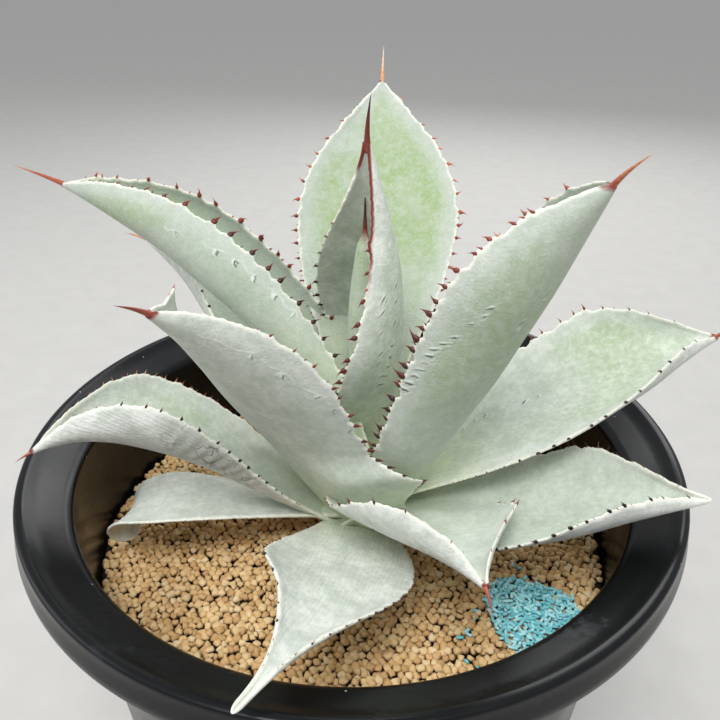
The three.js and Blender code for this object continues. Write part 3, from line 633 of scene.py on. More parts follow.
def leafSpine(name, leaf, shape):
    azimuth, rise, length, footTone, pointTone, radius = leaf["spine"]
    point, along, side, face = (v[0] for v in bladeFrames(leaf, np.array([1.0])))
    start = point - along * blade["spineRoot"] + face * 0.3
    end = point + face * 0.4 + direction(np.array(azimuth), np.array(rise)) * length
    return bentHorn(name.replace("leaf", "spine") + "_horn", shape, start, along, side, face, end,
                    radius * 1.12, footTone, pointTone)


# agave leaf: a thick skin grown under a powdery wax bloom, so it is pale, matt and softly mottled, greener
# where the wax is thin, with a cream horny margin that also carries a painted edge highlight, and the prints
# that its neighbours left on it in the bud, drawn partly with painted shade and highlight
def leafMaterial():
    material, tree, shader, place = newMaterial("agaveLeafWaxBloomed")
    held = [addNode(tree, "Attribute", {"attribute_name": attribute}, give="Vector")
            for attribute in ("spotMm", "coverShare", "printMm", "markShare")]
    told = [addNode(tree, "SeparateXYZ", {}, (value,), give=None).outputs for value in held]
    spot, cover, prints, mark = told
    along, across, edge = spot
    green, bloom, foot = cover
    printAway, printSide, pitch = prints
    scar, red, wrinkle = mark

    # cloudy patches of 35 mm and 9 mm, mottling of 2.4 mm, fibres of 1.1 by 32 mm and folds 1.6 mm apart; the
    # grains of wax are really too fine to show, so they are drawn at 0.8 mm
    broad, patch, mottle, powder = [
        addNode(tree, "TexNoise", {}, {"Vector": place, "Scale": scale, "Detail": detail, "Roughness": coarse})
        for scale, detail, coarse in ((28, 3, 0.5), (110, 4, 0.6), (420, 5, 0.65), (1250, 2, 0.5))]
    alongFibre = addNode(tree, "Math", times, (along, 0.035))
    fibreWay = addNode(tree, "CombineXYZ", {}, (alongFibre, across))
    striae = addNode(tree, "TexNoise", {}, {"Vector": fibreWay, "Scale": 0.9, "Detail": 4, "Roughness": 0.6})
    alongFold = addNode(tree, "Math", times, (along, 0.3))
    foldWay = addNode(tree, "CombineXYZ", {}, (alongFold, across))
    folds = addNode(tree, "TexWave", {"bands_direction": "Y"}, give="Fac", inputs={
        "Vector": foldWay, "Scale": 0.2, "Distortion": 14, "Detail": 3, "Detail Scale": 0.5})
    folded = addNode(tree, "Math", times, (folds, wrinkle))

    greenBroad = addNode(tree, "MapRange", soft, (broad, 0.36, 0.6, 0.35, 1.0))
    greenFine = addNode(tree, "MapRange", soft, (mottle, 0.32, 0.68, 0.6, 1.2))
    greenHere = addNode(tree, "Math", times, (greenBroad, greenFine))
    greenest = addNode(tree, "Math", timesInRange, (greenHere, green))
    waxPatch = addNode(tree, "MapRange", soft, (patch, 0.3, 0.68, 0.5, 1.05))
    waxFine = addNode(tree, "MapRange", soft, (mottle, 0.68, 0.34, 0.72, 1.12))
    waxHere = addNode(tree, "Math", times, (waxPatch, waxFine))
    waxed = addNode(tree, "Math", timesInRange, (waxHere, bloom))
    striaeShare = addNode(tree, "MapRange", soft, (striae, 0.52, 0.8, 0.0, 0.22))
    powderShare = addNode(tree, "MapRange", soft, (powder, 0.5, 0.74, 0.0, 0.13))
    # painted shade: the folds' hollows, where the bump sinks, are darkened towards #93A79A
    foldShade = addNode(tree, "MapRange", soft, (folded, 0.72, 0.98, 0.0, 0.1))
    footPatch = addNode(tree, "MapRange", soft, (patch, 0.3, 0.7, 0.4, 0.9))
    footShare = addNode(tree, "Math", timesInRange, (footPatch, foot))

    # prints: a row of slanting nicks, each dark on one side with a pale lip on the other, some of them missing
    uneven = addNode(tree, "Math", {"operation": "DIVIDE"}, (along, pitch))
    cell = addNode(tree, "Math", timesPlus, (patch, 1.4, uneven))
    number = addNode(tree, "Math", {"operation": "FLOOR"}, (cell,))
    luck = addNode(tree, "TexWhiteNoise", {"noise_dimensions": "1D"}, {"W": number}, give="Value")
    there = addNode(tree, "MapRange", soft, (luck, 0.08, 0.4))
    inCell = addNode(tree, "Math", {"operation": "FRACT"}, (cell,))
    fromMiddle = addNode(tree, "Math", {"operation": "SUBTRACT"}, (inCell, 0.5))
    bent = addNode(tree, "Math", timesPlus, (printSide, 0.22, -0.75))
    slanted = addNode(tree, "Math", times, (printSide, bent))
    nick = addNode(tree, "Math", timesPlus, (fromMiddle, pitch, slanted))
    lip = addNode(tree, "Math", {"operation": "SUBTRACT"}, (nick, 0.85))
    # the scalloped line that the neighbour's margin pressed in from tooth to tooth
    turned = addNode(tree, "Math", times, (cell, math.pi))
    arched = addNode(tree, "Math", {"operation": "SINE"}, (turned,))
    arch = addNode(tree, "Math", absolute, (arched,))
    ridge = addNode(tree, "Math", timesPlus, (arch, -1.3, printSide))
    archPart = addNode(tree, "MapRange", soft, (patch, 0.4, 0.6, 0.0, 0.5))
    # how thick and how long each of the three is: two distances from its middle, in mm, between which it fades
    marks = []
    for line, chance, thick, length in ((nick, there, (0.16, 0.58), (0.4, 1.3)),
                                        (lip, there, (0.2, 1.0), (0.5, 1.7)),
                                        (ridge, archPart, (0.1, 0.7), (2.0, 3.0))):
        away = addNode(tree, "Math", absolute, (line,))
        thin = addNode(tree, "MapRange", soft, (away, *thick, 1.0, 0.0))
        short = addNode(tree, "MapRange", soft, (printAway, *length, 1.0, 0.0))
        shape = addNode(tree, "Math", times, (thin, short))
        marks.append(addNode(tree, "Math", times, (shape, chance)))
    # the nicks are darkened partly as print and partly as painted shade in their hollows; the lips and the
    # ridge are paled partly as print and partly as a painted highlight on their rise
    dark, lipPale, ridgePale = marks
    pale = addNode(tree, "Math", {"operation": "MAXIMUM"}, (lipPale, ridgePale))
    nickDarkAndShade = addNode(tree, "Math", times, (dark, 0.95))
    lipPaleAndHighlight = addNode(tree, "Math", times, (pale, 0.6))

    # scars: skin that has dried grey and cracked into scales of 4 mm
    cracks = addNode(tree, "TexVoronoi", {"feature": "DISTANCE_TO_EDGE"}, {"Vector": place, "Scale": 240},
                     give="Distance")
    crackThin = addNode(tree, "MapRange", soft, (cracks, 0.0, 0.08, 1.0, 0.0))
    crackHere = addNode(tree, "MapRange", soft, (patch, 0.4, 0.56))
    crackPatch = addNode(tree, "Math", times, (crackThin, crackHere))
    crack = addNode(tree, "Math", times, (crackPatch, scar))
    greyShare = addNode(tree, "Math", times, (scar, 0.55))

    # margin: a cream horny rim, uneven by a millimetre, stained red next to the end spine; its paleness is
    # partly the rim's own colour and partly a painted edge highlight
    edgeUneven = addNode(tree, "Math", timesPlus, (mottle, 1.6, edge))
    rim = addNode(tree, "MapRange", soft, (edgeUneven, 0.9, 2.0, 0.75, 0.0))

    # the layers over the waxed skin, in order: green flesh where the wax is thin, fibres, wax grains, folds in
    # painted shade, the yellower foot, the nicks and their lips, part print and part painted shade and
    # highlight, dried skin and its cracks, the rim, partly its own cream and partly a painted edge highlight,
    # and the red by the spine
    skin = addNode(tree, "Mix", colours, {6: "#ABB5A8", 0: waxed, 7: "#EDF0E9"}, give=2)
    for share, tint in ((greenest, "#9AB07E"), (striaeShare, "#8CA695"), (powderShare, "#F6F7F1"),
                        (foldShade, "#93A79A"), (footShare, "#CDD8A2"), (nickDarkAndShade, "#3F5548"),
                        (lipPaleAndHighlight, "#EEF3EE"), (greyShare, "#A9AAA0"), (crack, "#45463F"), (rim, "#F2F1E2"),
                        (red, "#7C2A1E")):
        skin = addNode(tree, "Mix", colours, {6: skin, 0: share, 7: tint}, give=2)
    relief = powder
    for layer, height in ((striae, 0.45), (pale, 1.3), (dark, -1.1), (crack, -1.6), (folded, -0.35)):
        relief = addNode(tree, "Math", timesPlus, (layer, height, relief))
    rough = addNode(tree, "MapRange", soft, (patch, 0.3, 0.7, 0.5, 0.68))
    for key, value in (("Specular IOR Level", 0.3), ("Sheen Weight", 0.15), ("Sheen Roughness", 0.6),
                       ("Subsurface Weight", 0.05), ("Subsurface Scale", 0.003)):
        shader.inputs[key].default_value = value
    finishMaterial(tree, shader, skin, rough, relief, 0.42, 0.0005)
    return material


# horn: the hard dead tissue of teeth and spines, grown smooth, with streaks of 1.1 mm; a tooth has a pale point
def hornMaterial():
    material, tree, shader, place = newMaterial("agaveHornGrown")
    held = addNode(tree, "Attribute", {"attribute_name": "hornTone"}, give="Vector")
    tone, along, isTooth = addNode(tree, "SeparateXYZ", {}, (held,), give=None).outputs
    streak = addNode(tree, "TexNoise", {}, {"Vector": place, "Scale": 900, "Detail": 3})
    uneven = addNode(tree, "Math", timesPlus, (streak, 0.16, -0.08))
    toned = addNode(tree, "Math", {"operation": "ADD", "use_clamp": True}, (tone, uneven))
    colour = addNode(tree, "ValToRGB", {}, (toned,),
                     stops=[(0.0, "#EFE6D6"), (0.1, "#E0A074"), (0.24, "#A9503A"), (0.42, "#7C2D24"),
                            (0.68, "#431816"), (1.0, "#150B0B")])
    far = addNode(tree, "MapRange", soft, (along, 0.5, 1.0, 0.0, 0.6))
    paler = addNode(tree, "Math", times, (far, isTooth))
    horn = addNode(tree, "Mix", colours, {6: colour, 0: paler, 7: "#C98A72"}, give=2)
    rough = addNode(tree, "MapRange", {}, {0: streak, 3: 0.3, 4: 0.5})
    finishMaterial(tree, shader, horn, rough, streak, 0.2, 0.0002)
    return material


leafSkin = leafMaterial()
horn = hornMaterial()
oneTooth = toothShape()
oneSpine = spineShape()
rng = random.Random(blade["seed"])
for name, values in leaves.items():
    leaf = {**usual, **values}
    bladePiece, rows = leafBlade(name, leaf, rng)
    finishPiece(bladePiece, "leaf_skin", leafSkin, name)
    finishPiece(leafTeeth(name, leaf, rows, oneTooth, rng), "thorn", horn)
    if "spine" in leaf:
        finishPiece(leafSpine(name, leaf, oneSpine), "thorn", horn, name.replace("leaf", "spine"))
print("leaves made:", len(leaves))


# heart: the youngest leaf, still rolled into a cone that laps over itself
heart = {
    "foot": (4.6, 0, 213.4), "tip": (3.7, -3, 294), "radii": (3.8, 6.2, 1.5),    # mm
    "overlap": 0.16, "opensAt": -0.9, "printAt": 0.62, "printPitch": 4.4, "sides": 60, "rings": 90,
    "spineRoot": 2, "spineLength": 13, "spineRadius": 0.9, "tones": (0.5, 0.9),
}


def heartLeaf():
    foot = np.array(heart["foot"], float)
    tip = np.array(heart["tip"], float)
    t = np.linspace(0, 1, heart["rings"] + 1)[:, None] * np.ones((1, heart["sides"] + 1))
    turn = np.linspace(0, 1, heart["sides"])
    turn = np.append(turn, 0)[None, :] * np.ones((heart["rings"] + 1, 1))
    radius = threeWay(heart["radii"], t) * np.sqrt(np.clip((1 - t) / 0.07, 0.3, 1))
    angle = heart["opensAt"] + turn * 2 * np.pi * 0.985
    r = radius * (1 + heart["overlap"] * (turn - 0.5))
    points = foot + (tip - foot) * t[..., None] + np.stack([r * np.cos(angle), r * np.sin(angle), 0 * r], -1)
    around = 2 * np.pi * radius
    gap = (turn - heart["printAt"]) * around
    attributes = {
        "spotMm": (t * 80, turn * 38, (1 - turn) * around),
        "coverShare": (0.75 + 0 * t, 0.3 + 0 * t, np.clip(1 - t / 0.3, 0, 1)),
        "printMm": (np.abs(gap), gap, heart["printPitch"] + 0 * t),
        "markShare": (0 * t, smoothly(t, 0.93, 1), 0 * t),
    }
    return rolledGrid("heart_leaf_rolled", points, attributes)


def heartSpine(shape):
    foot = np.array(heart["foot"], float)
    tip = np.array(heart["tip"], float)
    axis = (tip - foot) / np.linalg.norm(tip - foot)
    side = np.array([1.0, 0, 0])
    face = np.array([0, 1.0, 0])
    end = tip + axis * heart["spineLength"]
    start = tip - axis * heart["spineRoot"]
    return bentHorn("heart_spine_horn", shape, start, axis, side, face, end,
                    heart["spineRadius"], *heart["tones"])


finishPiece(heartLeaf(), "leaf_skin", leafSkin, "heart_leaf")
finishPiece(heartSpine(oneSpine), "thorn", horn, "heart_spine")
print("heart made")


# trunk: pale corky skin grown between the leaf feet, in scales of 4 mm, laid on the solid
def trunkMaterial():
    material, tree, shader, place = newMaterial("agaveTrunkCorky")
    cork = addNode(tree, "TexNoise", {}, {"Vector": place, "Scale": 260, "Detail": 5})
    colour = addNode(tree, "ValToRGB", {}, (cork,), stops=[(0.3, "#7F8A5E"), (0.7, "#B9BE93")])
    rough = addNode(tree, "MapRange", {}, {0: cork, 3: 0.6, 4: 0.85})
    finishMaterial(tree, shader, colour, rough, cork, 0.5, 0.0008)
    return material


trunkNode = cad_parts["stem"]
trunkNode.data.materials.clear()
trunkNode.data.materials.append(trunkMaterial())


# pot: a tub with a dished flange, a skirt and a shallow foot
pot = {
    "height": 210, "crestRadius": 121.4, "skirtRadius": 122.8, "skirtDepth": 11.7, "skirtThickness": 3,
    "lipRadius": 104.9, "lipDrop": 7.8, "neckRadius": 107, "baseRadius": 92, "floorTop": 6,
    "floorRadius": 89.6, "padRadius": 25, "footWidth": 11, "footHeight": 3, "holeRadius": 5,
    "holeCircle": 48, "holes": 6, "steps": 192,
}


# corners are radius, height and how far back from the corner its rounding starts, in mm
def roundedProfile(corners):
    points = []
    for k, (r, z, fillet) in enumerate(corners):
        here = np.array([r, z], float)
        if fillet == 0:
            points.append(here)
            continue
        before = np.array(corners[k - 1][:2], float) - here
        after = np.array(corners[k + 1][:2], float) - here
        cut = min(fillet, np.linalg.norm(before) * 0.45, np.linalg.norm(after) * 0.45)
        start = here + before / np.linalg.norm(before) * cut
        end = here + after / np.linalg.norm(after) * cut
        for u in (0, 0.2, 0.4, 0.6, 0.8, 1):
            points.append((1 - u) ** 2 * start + 2 * u * (1 - u) * here + u * u * end)
    return points


def potProfile():
    top = pot["height"]
    crest = pot["crestRadius"]
    skirt = pot["skirtRadius"]
    skirtFoot = top - pot["skirtDepth"]
    skirtInside = skirt - pot["skirtThickness"]
    lip = pot["lipRadius"]
    lipHeight = top - pot["lipDrop"]
    neck = pot["neckRadius"]
    base = pot["baseRadius"]
    pad = pot["padRadius"]
    footInside = base - 2 - pot["footWidth"]
    under = pot["footHeight"]
    floor = pot["floorTop"]
    return roundedProfile([
        (0, 0, 0), (pad, 0, 0.6), (pad + 3, under, 1), (footInside - 3, under, 1), (footInside, 0, 0.6),
        (base - 2, 0, 0.8), (base, 2, 1.2), (neck, skirtFoot, 2), (neck + 3, top - 6, 1.5),
        (skirtInside - 1, top - 4.5, 1), (skirtInside, skirtFoot, 0.5), (skirt, skirtFoot, 0.6),
        (skirt + 0.2, skirtFoot + 2.5, 1.2), (skirt - 0.8, top - 4, 2), (crest + 0.4, top - 0.6, 1.6),
        (crest - 2.2, top - 0.3, 1.6), (crest - 6, top - 3.0, 2.5), (lip + 1, lipHeight + 0.6, 1.6),
        (lip - 1, lipHeight - 1.4, 1.6), (pot["floorRadius"], floor, 2), (0, floor, 0),
    ])


# the profile is drawn by extruding one corner from point to point, and spun round the axis
def potTub():
    bpy.ops.object.select_all(action="DESELECT")
    bpy.ops.mesh.primitive_plane_add(size=2)
    tub = bpy.context.object
    tub.name = "pot_tub"
    for vertex in tub.data.vertices:
        vertex.co = (0, 0, 0)
    bpy.ops.object.mode_set(mode="EDIT")
    bpy.ops.mesh.select_all(action="SELECT")
    bpy.ops.mesh.merge(type="CENTER")
    profile = potProfile()
    for before, after in zip(profile, profile[1:]):
        step = ((after[0] - before[0]) * mm, 0, (after[1] - before[1]) * mm)
        bpy.ops.mesh.extrude_region_move(TRANSFORM_OT_translate={"value": step})
    bpy.ops.mesh.select_all(action="SELECT")
    bpy.ops.mesh.spin(steps=pot["steps"], angle=2 * math.pi, center=(0, 0, 0), axis=(0, 0, 1))
    bpy.ops.mesh.select_all(action="SELECT")
    bpy.ops.mesh.remove_doubles(threshold=0.00001)
    bpy.ops.mesh.normals_make_consistent(inside=False)
    bpy.ops.object.mode_set(mode="OBJECT")
    for k in range(pot["holes"]):
        turn = k / pot["holes"] * 2 * math.pi
        where = Vector((pot["holeCircle"] * math.cos(turn), pot["holeCircle"] * math.sin(turn), 3)) * mm
        radius = pot["holeRadius"] * mm
        bpy.ops.mesh.primitive_cylinder_add(vertices=40, radius=radius, depth=20 * mm, location=where)
        drill = bpy.context.object
        cut = tub.modifiers.new("drain", "BOOLEAN")
        cut.operation = "DIFFERENCE"
        cut.object = drill
        bpy.ops.object.select_all(action="DESELECT")
        bpy.context.view_layer.objects.active = tub
        tub.select_set(True)
        bpy.ops.object.modifier_apply(modifier="drain")
        bpy.data.objects.remove(drill, do_unlink=True)
    bpy.ops.object.shade_smooth_by_angle(angle=math.radians(35))
    tub.select_set(False)
    return tub


# polypropylene, injection moulded: near black and softly glossy, with specks of grit, dried water marks 24 mm
# wide, and a brown wall above the soil, partly mud run down in streaks of 11 mm and partly a painted reflection
# of the soil
def potMaterial():
    material, tree, shader, place = newMaterial("polypropyleneMoulded")
    cloud = addNode(tree, "TexNoise", {}, {"Vector": place, "Scale": 28, "Detail": 4})
    dust = addNode(tree, "TexNoise", {}, {"Vector": place, "Scale": 420, "Detail": 3})
    base = addNode(tree, "ValToRGB", {}, (cloud,), stops=[(0.3, "#07080A"), (0.7, "#0E1013")])
    # grit: one cell of 6 mm in five holds a speck of about 0.5 mm
    cells = addNode(tree, "TexVoronoi", {}, {"Vector": place, "Scale": 165}, give=None)
    cellNumber = addNode(tree, "SeparateColor", {}, (cells.outputs["Color"],))
    chosen = addNode(tree, "Math", {"operation": "GREATER_THAN"}, (cellNumber, 0.8))
    near = addNode(tree, "MapRange", soft, (cells.outputs["Distance"], 0.03, 0.06, 0.8, 0.0))
    speck = addNode(tree, "Math", times, (near, chosen))
    film = addNode(tree, "TexNoise", {}, {"Vector": place, "Scale": 42, "Detail": 5, "Roughness": 0.7})
    stain = addNode(tree, "MapRange", soft, (film, 0.6, 0.74, 0.0, 0.16))
    x, y, z = addNode(tree, "SeparateXYZ", {}, (place,), give=None).outputs
    level = addNode(tree, "CombineXYZ", {}, (x, y))
    radius = addNode(tree, "VectorMath", {"operation": "LENGTH"}, (level,), give="Value")
    # the wall leans out by 75 mm a metre, so this is how far a spot lies from its middle
    leaning = addNode(tree, "Math", timesPlus, (z, -0.075, radius))
    inside = addNode(tree, "MapRange", soft, (leaning, 0.0902, 0.0908, 1.0, 0.0))
    low = addNode(tree, "MapRange", soft, (z, 0.165, 0.2, 0.5, 0.12))
    inner = addNode(tree, "Math", times, (inside, low))
    upright = addNode(tree, "VectorMath", times, (place, (1, 1, 0.25)))
    runs = addNode(tree, "TexNoise", {}, {"Vector": upright, "Scale": 90, "Detail": 5, "Roughness": 0.65})
    streaks = addNode(tree, "MapRange", soft, (runs, 0.42, 0.66, 0.12, 1.0))
    mudAndSoilReflection = addNode(tree, "Math", times, (inner, streaks))
    # the brown on the inner wall is partly mud run down in streaks and partly a painted reflection of the soil
    shade = addNode(tree, "Mix", colours, {6: base, 0: mudAndSoilReflection, 7: "#241808"}, give=2)
    shade = addNode(tree, "Mix", colours, {6: shade, 0: stain, 7: "#6C767C"}, give=2)
    shade = addNode(tree, "Mix", colours, {6: shade, 0: speck, 7: "#C3C9CB"}, give=2)
    gloss = addNode(tree, "MapRange", {}, (cloud, 0.3, 0.7, 0.2, 0.34))
    rough = addNode(tree, "Math", {"operation": "ADD"}, (gloss, stain))
    shader.inputs["IOR"].default_value = 1.49
    shader.inputs["Specular IOR Level"].default_value = 0.3
    finishMaterial(tree, shader, shade, rough, dust, 0.1, 0.0002)
    return material


finishPiece(potTub(), "black_plastic", potMaterial(), "pot")
print("pot made")


# soil: fired clay grit of 3 to 4 mm over a darker bed, in mm
soil = {
    "edgeHeight": 163, "edgeRadius": 100.4, "crown": 2.5, "bedDrop": 2.6, "rings": 12, "sides": 96,
    "spacing": 2.8, "jitter": 0.5, "uneven": (-1.0, 0.4), "strayShare": 0.1, "strayReach": 1.5, "seed": 8,
    "sizes": (2.3, 3.3), "kinds": 16, "lumps": 0.1, "stretch": ((0.85, 1.12), (0.8, 1.0), (0.75, 0.95)),
}
# feed: a heap of rods on the soil, the first layer's at least this far apart, in mm
feed = {
    "x": 65, "y": -47, "radius": 18, "hollow": 1.7, "length": 2.35, "thickness": 1.25, "apart": 1.34, "seed": 4,
    "tries": 9000, "lift": 0.9, "second": 150, "secondLift": 1.75, "strays": 26, "strayLift": 1.6,
}


def soilLevel(x, y):
    share = np.hypot(x, y) / soil["edgeRadius"]
    return soil["edgeHeight"] + soil["crown"] * (1 - share * share)


# the bed: a plug that fills the pot, its top inset in rings and lifted to the level of the soil
def soilBed():
    bpy.ops.object.select_all(action="DESELECT")
    bpy.ops.mesh.primitive_cylinder_add(vertices=soil["sides"], radius=1, depth=1)
    bed = bpy.context.object
    bed.name = "soil_bed"
    top = soil["edgeHeight"] - soil["bedDrop"]
    bottom = pot["floorTop"] + 0.3
    for vertex in bed.data.vertices:
        above = vertex.co.z > 0
        wide = soil["edgeRadius"] if above else pot["floorRadius"] - 0.6
        vertex.co = Vector((vertex.co.x * wide, vertex.co.y * wide, top if above else bottom)) * mm
    for face in bed.data.polygons:
        face.select = face.normal.z > 0.9
    bpy.ops.object.mode_set(mode="EDIT")
    for _ in range(soil["rings"]):
        bpy.ops.mesh.inset(thickness=soil["edgeRadius"] / (soil["rings"] + 1) * mm)
    bpy.ops.object.mode_set(mode="OBJECT")
    for vertex in bed.data.vertices:
        if vertex.co.z > top * mm - 0.0001:
            vertex.co.z = (soilLevel(vertex.co.x / mm, vertex.co.y / mm) - soil["bedDrop"]) * mm
    bpy.ops.object.shade_smooth_by_angle(angle=math.radians(30))
    bed.select_set(False)
    return bed


# one grain, modelled once: a cube with its edges cut off, two dozen faces
def grainShape():
    bpy.ops.object.select_all(action="DESELECT")
    bpy.ops.mesh.primitive_cube_add(size=1)
    bpy.ops.object.mode_set(mode="EDIT")
    bpy.ops.mesh.select_all(action="SELECT")
    bpy.ops.mesh.bevel(offset=0.17, segments=1, affect="EDGES")
    return takenShape()


def turnedAtRandom(rng):
    q = np.array([rng.gauss(0, 1) for _ in range(4)])
    w, x, y, z = q / np.linalg.norm(q)
    return np.array([
        [1 - 2 * (y * y + z * z), 2 * (x * y - z * w), 2 * (x * z + y * w)],
        [2 * (x * y + z * w), 1 - 2 * (x * x + z * z), 2 * (y * z - x * w)],
        [2 * (x * z - y * w), 2 * (y * z + x * w), 1 - 2 * (x * x + y * y)],
    ])


# grains stand on a jittered net, each one a lumpy copy turned its own way, with a few lying on the others
def soilGrains(shape):
    rng = random.Random(soil["seed"])
    unit, faces = shape
    lumps = soil["lumps"]
    kinds = [unit + np.array([[rng.uniform(-lumps, lumps) for _ in range(3)] for _ in unit])
             for _ in range(soil["kinds"])]
    spots = []
    spacing = soil["spacing"]
    jitter = soil["jitter"]
    aside = soil["strayReach"]
    rows = int(soil["edgeRadius"] / spacing) + 2
    for row in range(-rows, rows + 1):
        for column in range(-rows, rows + 1):
            x = (column + (row % 2) / 2) * spacing + rng.uniform(-jitter, jitter)
            y = row * spacing * 0.866 + rng.uniform(-jitter, jitter)    # rows of a net of triangles
            size = rng.uniform(*soil["sizes"])
            if math.hypot(x, y) > soil["edgeRadius"] - size * 0.42:
                continue
            z = float(soilLevel(x, y)) + rng.uniform(*soil["uneven"])
            if math.hypot(x - feed["x"], y - feed["y"]) < feed["radius"]:
                z -= feed["hollow"]
            spots.append((x, y, z, size))
            if rng.random() < soil["strayShare"]:
                strayX = x + rng.uniform(-aside, aside)
                strayY = y + rng.uniform(-aside, aside)
                spots.append((strayX, strayY, z + size * 0.5, size * 0.8))
    rng.shuffle(spots)
    half = len(spots) // 2
    pieces = []
    for part, chosen in (("a", spots[:half]), ("b", spots[half:])):
        placed = []
        tones = []
        for x, y, z, size in chosen:
            stretch = np.array([rng.uniform(*limits) for limits in soil["stretch"]])
            grain = (rng.choice(kinds) * stretch * size) @ turnedAtRandom(rng).T
            tone = rng.random()
            placed.append(grain + (x, y, z))
            # the second number is the corner's height in its grain, from which the clay paints shade on the
            # grain's lower part
            tones.extend([(tone, 0.5 + corner[2] / size, 0) for corner in grain])
        pieces.append(copiedPiece("soil_grains_" + part, faces, placed, "grainTone", tones, True))
    return pieces


# akadama, a low-fired volcanic clay: matt and open-grained, tan, with browner damp patches of 45 mm and painted
# shade on the lower part of each grain; its pores are really finer than the 1.1 mm drawn here
def clayMaterial():
    material, tree, shader, place = newMaterial("akadamaClayFired")
    held = addNode(tree, "Attribute", {"attribute_name": "grainTone"}, give="Vector")
    tone, height, _ = addNode(tree, "SeparateXYZ", {}, (held,), give=None).outputs
    pores = addNode(tree, "TexNoise", {}, {"Vector": place, "Scale": 900, "Detail": 4, "Roughness": 0.7})
    damp = addNode(tree, "TexNoise", {}, {"Vector": place, "Scale": 22, "Detail": 3})
    halved = addNode(tree, "Math", times, (tone, 0.55))
    lower = addNode(tree, "Math", timesPlus, (pores, 0.5, halved))
    colour = addNode(tree, "ValToRGB", {}, (lower,),
                     stops=[(0.1, "#BA9160"), (0.4, "#E3BC85"), (0.7, "#F3D39E"), (1.0, "#FDEECE")])
    wet = addNode(tree, "MapRange", soft, (damp, 0.52, 0.7, 0.0, 0.25))
    damped = addNode(tree, "Mix", colours, {6: colour, 0: wet, 7: "#8A6A47"}, give=2)
    # painted shade: the lower part of each grain is darkened towards #38230F
    paintedShadeBelow = addNode(tree, "MapRange", soft, (height, 0.36, 0.86, 0.97, 0.0))
    shaded = addNode(tree, "Mix", colours, {6: damped, 0: paintedShadeBelow, 7: "#38230F"}, give=2)
    rough = addNode(tree, "MapRange", {}, {0: pores, 3: 0.8, 4: 0.98})
    shader.inputs["Specular IOR Level"].default_value = 0.2
    finishMaterial(tree, shader, shaded, rough, pores, 0.8, 0.0006)
    return material


# the same clay worn to dust and crumbs of 1.4 mm under the grains, dark because little light gets there
def bedMaterial():
    material, tree, shader, place = newMaterial("akadamaClayDust")
    crumbs = addNode(tree, "TexNoise", {}, {"Vector": place, "Scale": 700, "Detail": 4, "Roughness": 0.7})
    colour = addNode(tree, "ValToRGB", {}, (crumbs,), stops=[(0.3, "#1D130C"), (0.7, "#46311F")])
    rough = addNode(tree, "MapRange", {}, {0: crumbs, 3: 0.8, 4: 0.98})
    finishMaterial(tree, shader, colour, rough, crumbs, 0.7, 0.0008)
    return material


finishPiece(soilBed(), "clay_grit", bedMaterial(), "soil")
clayGrit = clayMaterial()
for piece in soilGrains(grainShape()):
    finishPiece(piece, "clay_grit", clayGrit)
print("soil made")


# one granule of feed: a short rod with its rims cut off
def pelletShape():
    bpy.ops.object.select_all(action="DESELECT")
    bpy.ops.mesh.primitive_cylinder_add(vertices=8, radius=0.5, depth=1)
    bpy.ops.object.mode_set(mode="EDIT")
    bpy.ops.mesh.select_all(action="SELECT")
    bpy.ops.mesh.bevel(offset=0.12, segments=1, affect="EDGES")
    return takenShape()


# a patch of rods lying flat on the grit, a few on top and a few that rolled away
def feedSpots(rng):
    spots = []
    for _ in range(feed["tries"]):
        angle = rng.uniform(0, 2 * math.pi)
        reach = feed["radius"] * math.sqrt(rng.random()) * (0.92 + 0.1 * math.sin(angle * 3 + 1))
        x = feed["x"] + reach * math.cos(angle)
        y = feed["y"] + reach * math.sin(angle)
        if all(math.hypot(x - other[0], y - other[1]) > feed["apart"] for other in spots):
            spots.append((x, y, feed["lift"]))
    for _ in range(feed["second"]):
        x, y, _ = rng.choice(spots)
        spots.append((x + 0.7, y + 0.4, feed["secondLift"]))
    for _ in range(feed["strays"]):
        x = feed["x"] + rng.uniform(-30, 20)
        y = feed["y"] + rng.uniform(-24, 24)
        spots.append((x, y, feed["strayLift"]))
    return [spot for spot in spots if math.hypot(spot[0], spot[1]) < soil["edgeRadius"] - 2.2]


def feedHeap(shape):
    rng = random.Random(feed["seed"])
    unit, faces = shape
    placed = []
    tones = []
    for x, y, lift in feedSpots(rng):
        yaw = rng.uniform(0, 2 * math.pi)
        tip = rng.uniform(-0.2, 0.2)
        way = np.array([math.cos(yaw) * math.cos(tip), math.sin(yaw) * math.cos(tip), math.sin(tip)])
        side = np.array([-math.sin(yaw), math.cos(yaw), 0])
        top = np.cross(way, side)
        long = feed["length"] * rng.uniform(0.7, 1.15)
        thick = feed["thickness"] * rng.uniform(0.9, 1.08)
        body = unit[:, 2:3] * long * way + unit[:, 0:1] * thick * side + unit[:, 1:2] * thick * top
        tone = rng.random()
        placed.append(body + (x, y, float(soilLevel(x, y)) + lift + rng.uniform(-0.2, 0.2)))
        # the second number is the corner's height in its rod, from which the feed paints shade on the rod's
        # lower side
        tones.extend([(tone, 0.5 + corner[2] / thick, 0) for corner in body])
    return copiedPiece("feed_granules_heap", faces, placed, "grainTone", tones, True)
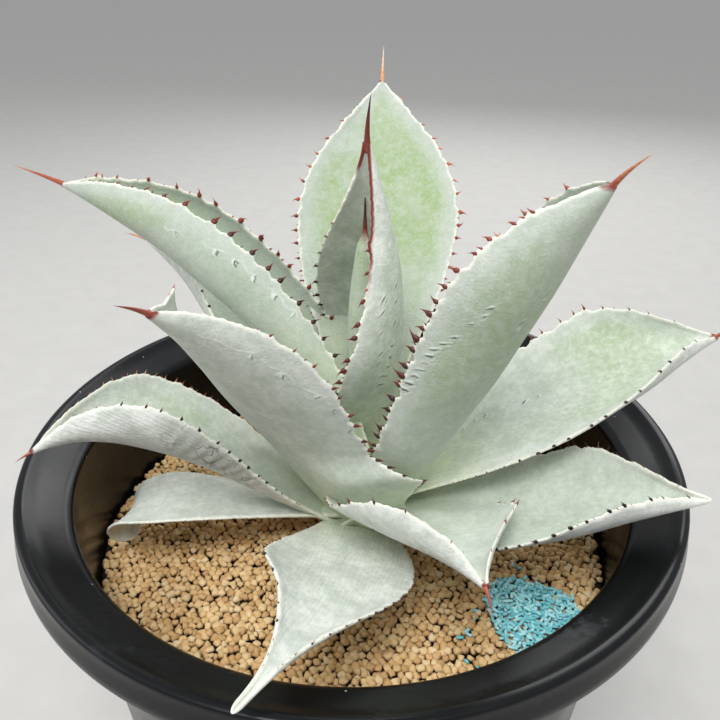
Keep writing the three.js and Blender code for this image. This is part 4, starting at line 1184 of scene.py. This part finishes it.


# slow-release fertiliser, coated with resin: opaque turquoise, faintly waxy, with painted shade on the lower
# side of each rod; the coat's unevenness is really finer than the 0.9 mm drawn here
def feedMaterial():
    material, tree, shader, place = newMaterial("fertiliserResinCoated")
    held = addNode(tree, "Attribute", {"attribute_name": "grainTone"}, give="Vector")
    tone, height, _ = addNode(tree, "SeparateXYZ", {}, (held,), give=None).outputs
    coat = addNode(tree, "TexNoise", {}, {"Vector": place, "Scale": 1100, "Detail": 3})
    mixed = addNode(tree, "Math", timesPlus, (coat, 0.4, tone))
    blues = [(0.1, "#62BAC4"), (0.6, "#86D3DB"), (1.0, "#B4EBEF")]
    colour = addNode(tree, "ValToRGB", {}, (mixed,), stops=blues)
    # painted shade: the lower side of each rod is darkened towards #1D4A52
    paintedShadeBelow = addNode(tree, "MapRange", soft, (height, 0.15, 0.7, 0.85, 0.0))
    shaded = addNode(tree, "Mix", colours, {6: colour, 0: paintedShadeBelow, 7: "#1D4A52"}, give=2)
    rough = addNode(tree, "MapRange", {}, {0: coat, 3: 0.45, 4: 0.7})
    finishMaterial(tree, shader, shaded, rough, coat, 0.25, 0.0002)
    return material


finishPiece(feedHeap(pelletShape()), "blue_pellets", feedMaterial(), "feed_granules")
print("feed made")


# studio: a pale floor and soft light from above and in front, in metres and watts
studio = {
    "floor": ("#C4C2BE", "#C9C7C3"), "floorSize": 30, "sky": "#E9ECEF", "skyStrength": 0.66, "aim": (0, 0, 0.2),
    "key": {"at": (-0.12, -0.6, 1.35), "size": 0.55, "power": 12.6},
    "side": {"at": (-1.2, 0.1, 0.9), "size": 0.9, "power": 4},
    "rim": {"at": (0.3, 1.2, 1.0), "size": 0.9, "power": 8},
}


def studioFloor():
    bpy.ops.object.select_all(action="DESELECT")
    bpy.ops.mesh.primitive_plane_add(size=studio["floorSize"])
    floor = bpy.context.object
    floor.name = "studio_floor"
    floor.select_set(False)
    material, tree, shader, place = newMaterial("paperPale")
    fibre = addNode(tree, "TexNoise", {}, {"Vector": place, "Scale": 40, "Detail": 4})
    colour = addNode(tree, "ValToRGB", {}, (fibre,), stops=list(zip((0.3, 0.7), studio["floor"])))
    tree.links.new(colour, shader.inputs["Base Color"])
    shader.inputs["Roughness"].default_value = 0.9
    floor.data.materials.append(material)


def studioLights():
    world = bpy.data.worlds.new("studio")
    world.use_nodes = True
    sky = world.node_tree.nodes["Background"]
    sky.inputs["Color"].default_value = linearColour(studio["sky"])
    sky.inputs["Strength"].default_value = studio["skyStrength"]
    bpy.context.scene.world = world
    for name in ("key", "side", "rim"):
        light = bpy.data.lights.new(name, "AREA")
        light.size = studio[name]["size"]
        light.energy = studio[name]["power"]
        lamp = bpy.data.objects.new(name, light)
        bpy.context.scene.collection.objects.link(lamp)
        lamp.location = studio[name]["at"]
        aim = Vector(studio["aim"]) - Vector(studio[name]["at"])
        lamp.rotation_euler = aim.to_track_quat("-Z", "Y").to_euler()
    bpy.context.scene.view_settings.view_transform = "Standard"


studioFloor()
studioLights()
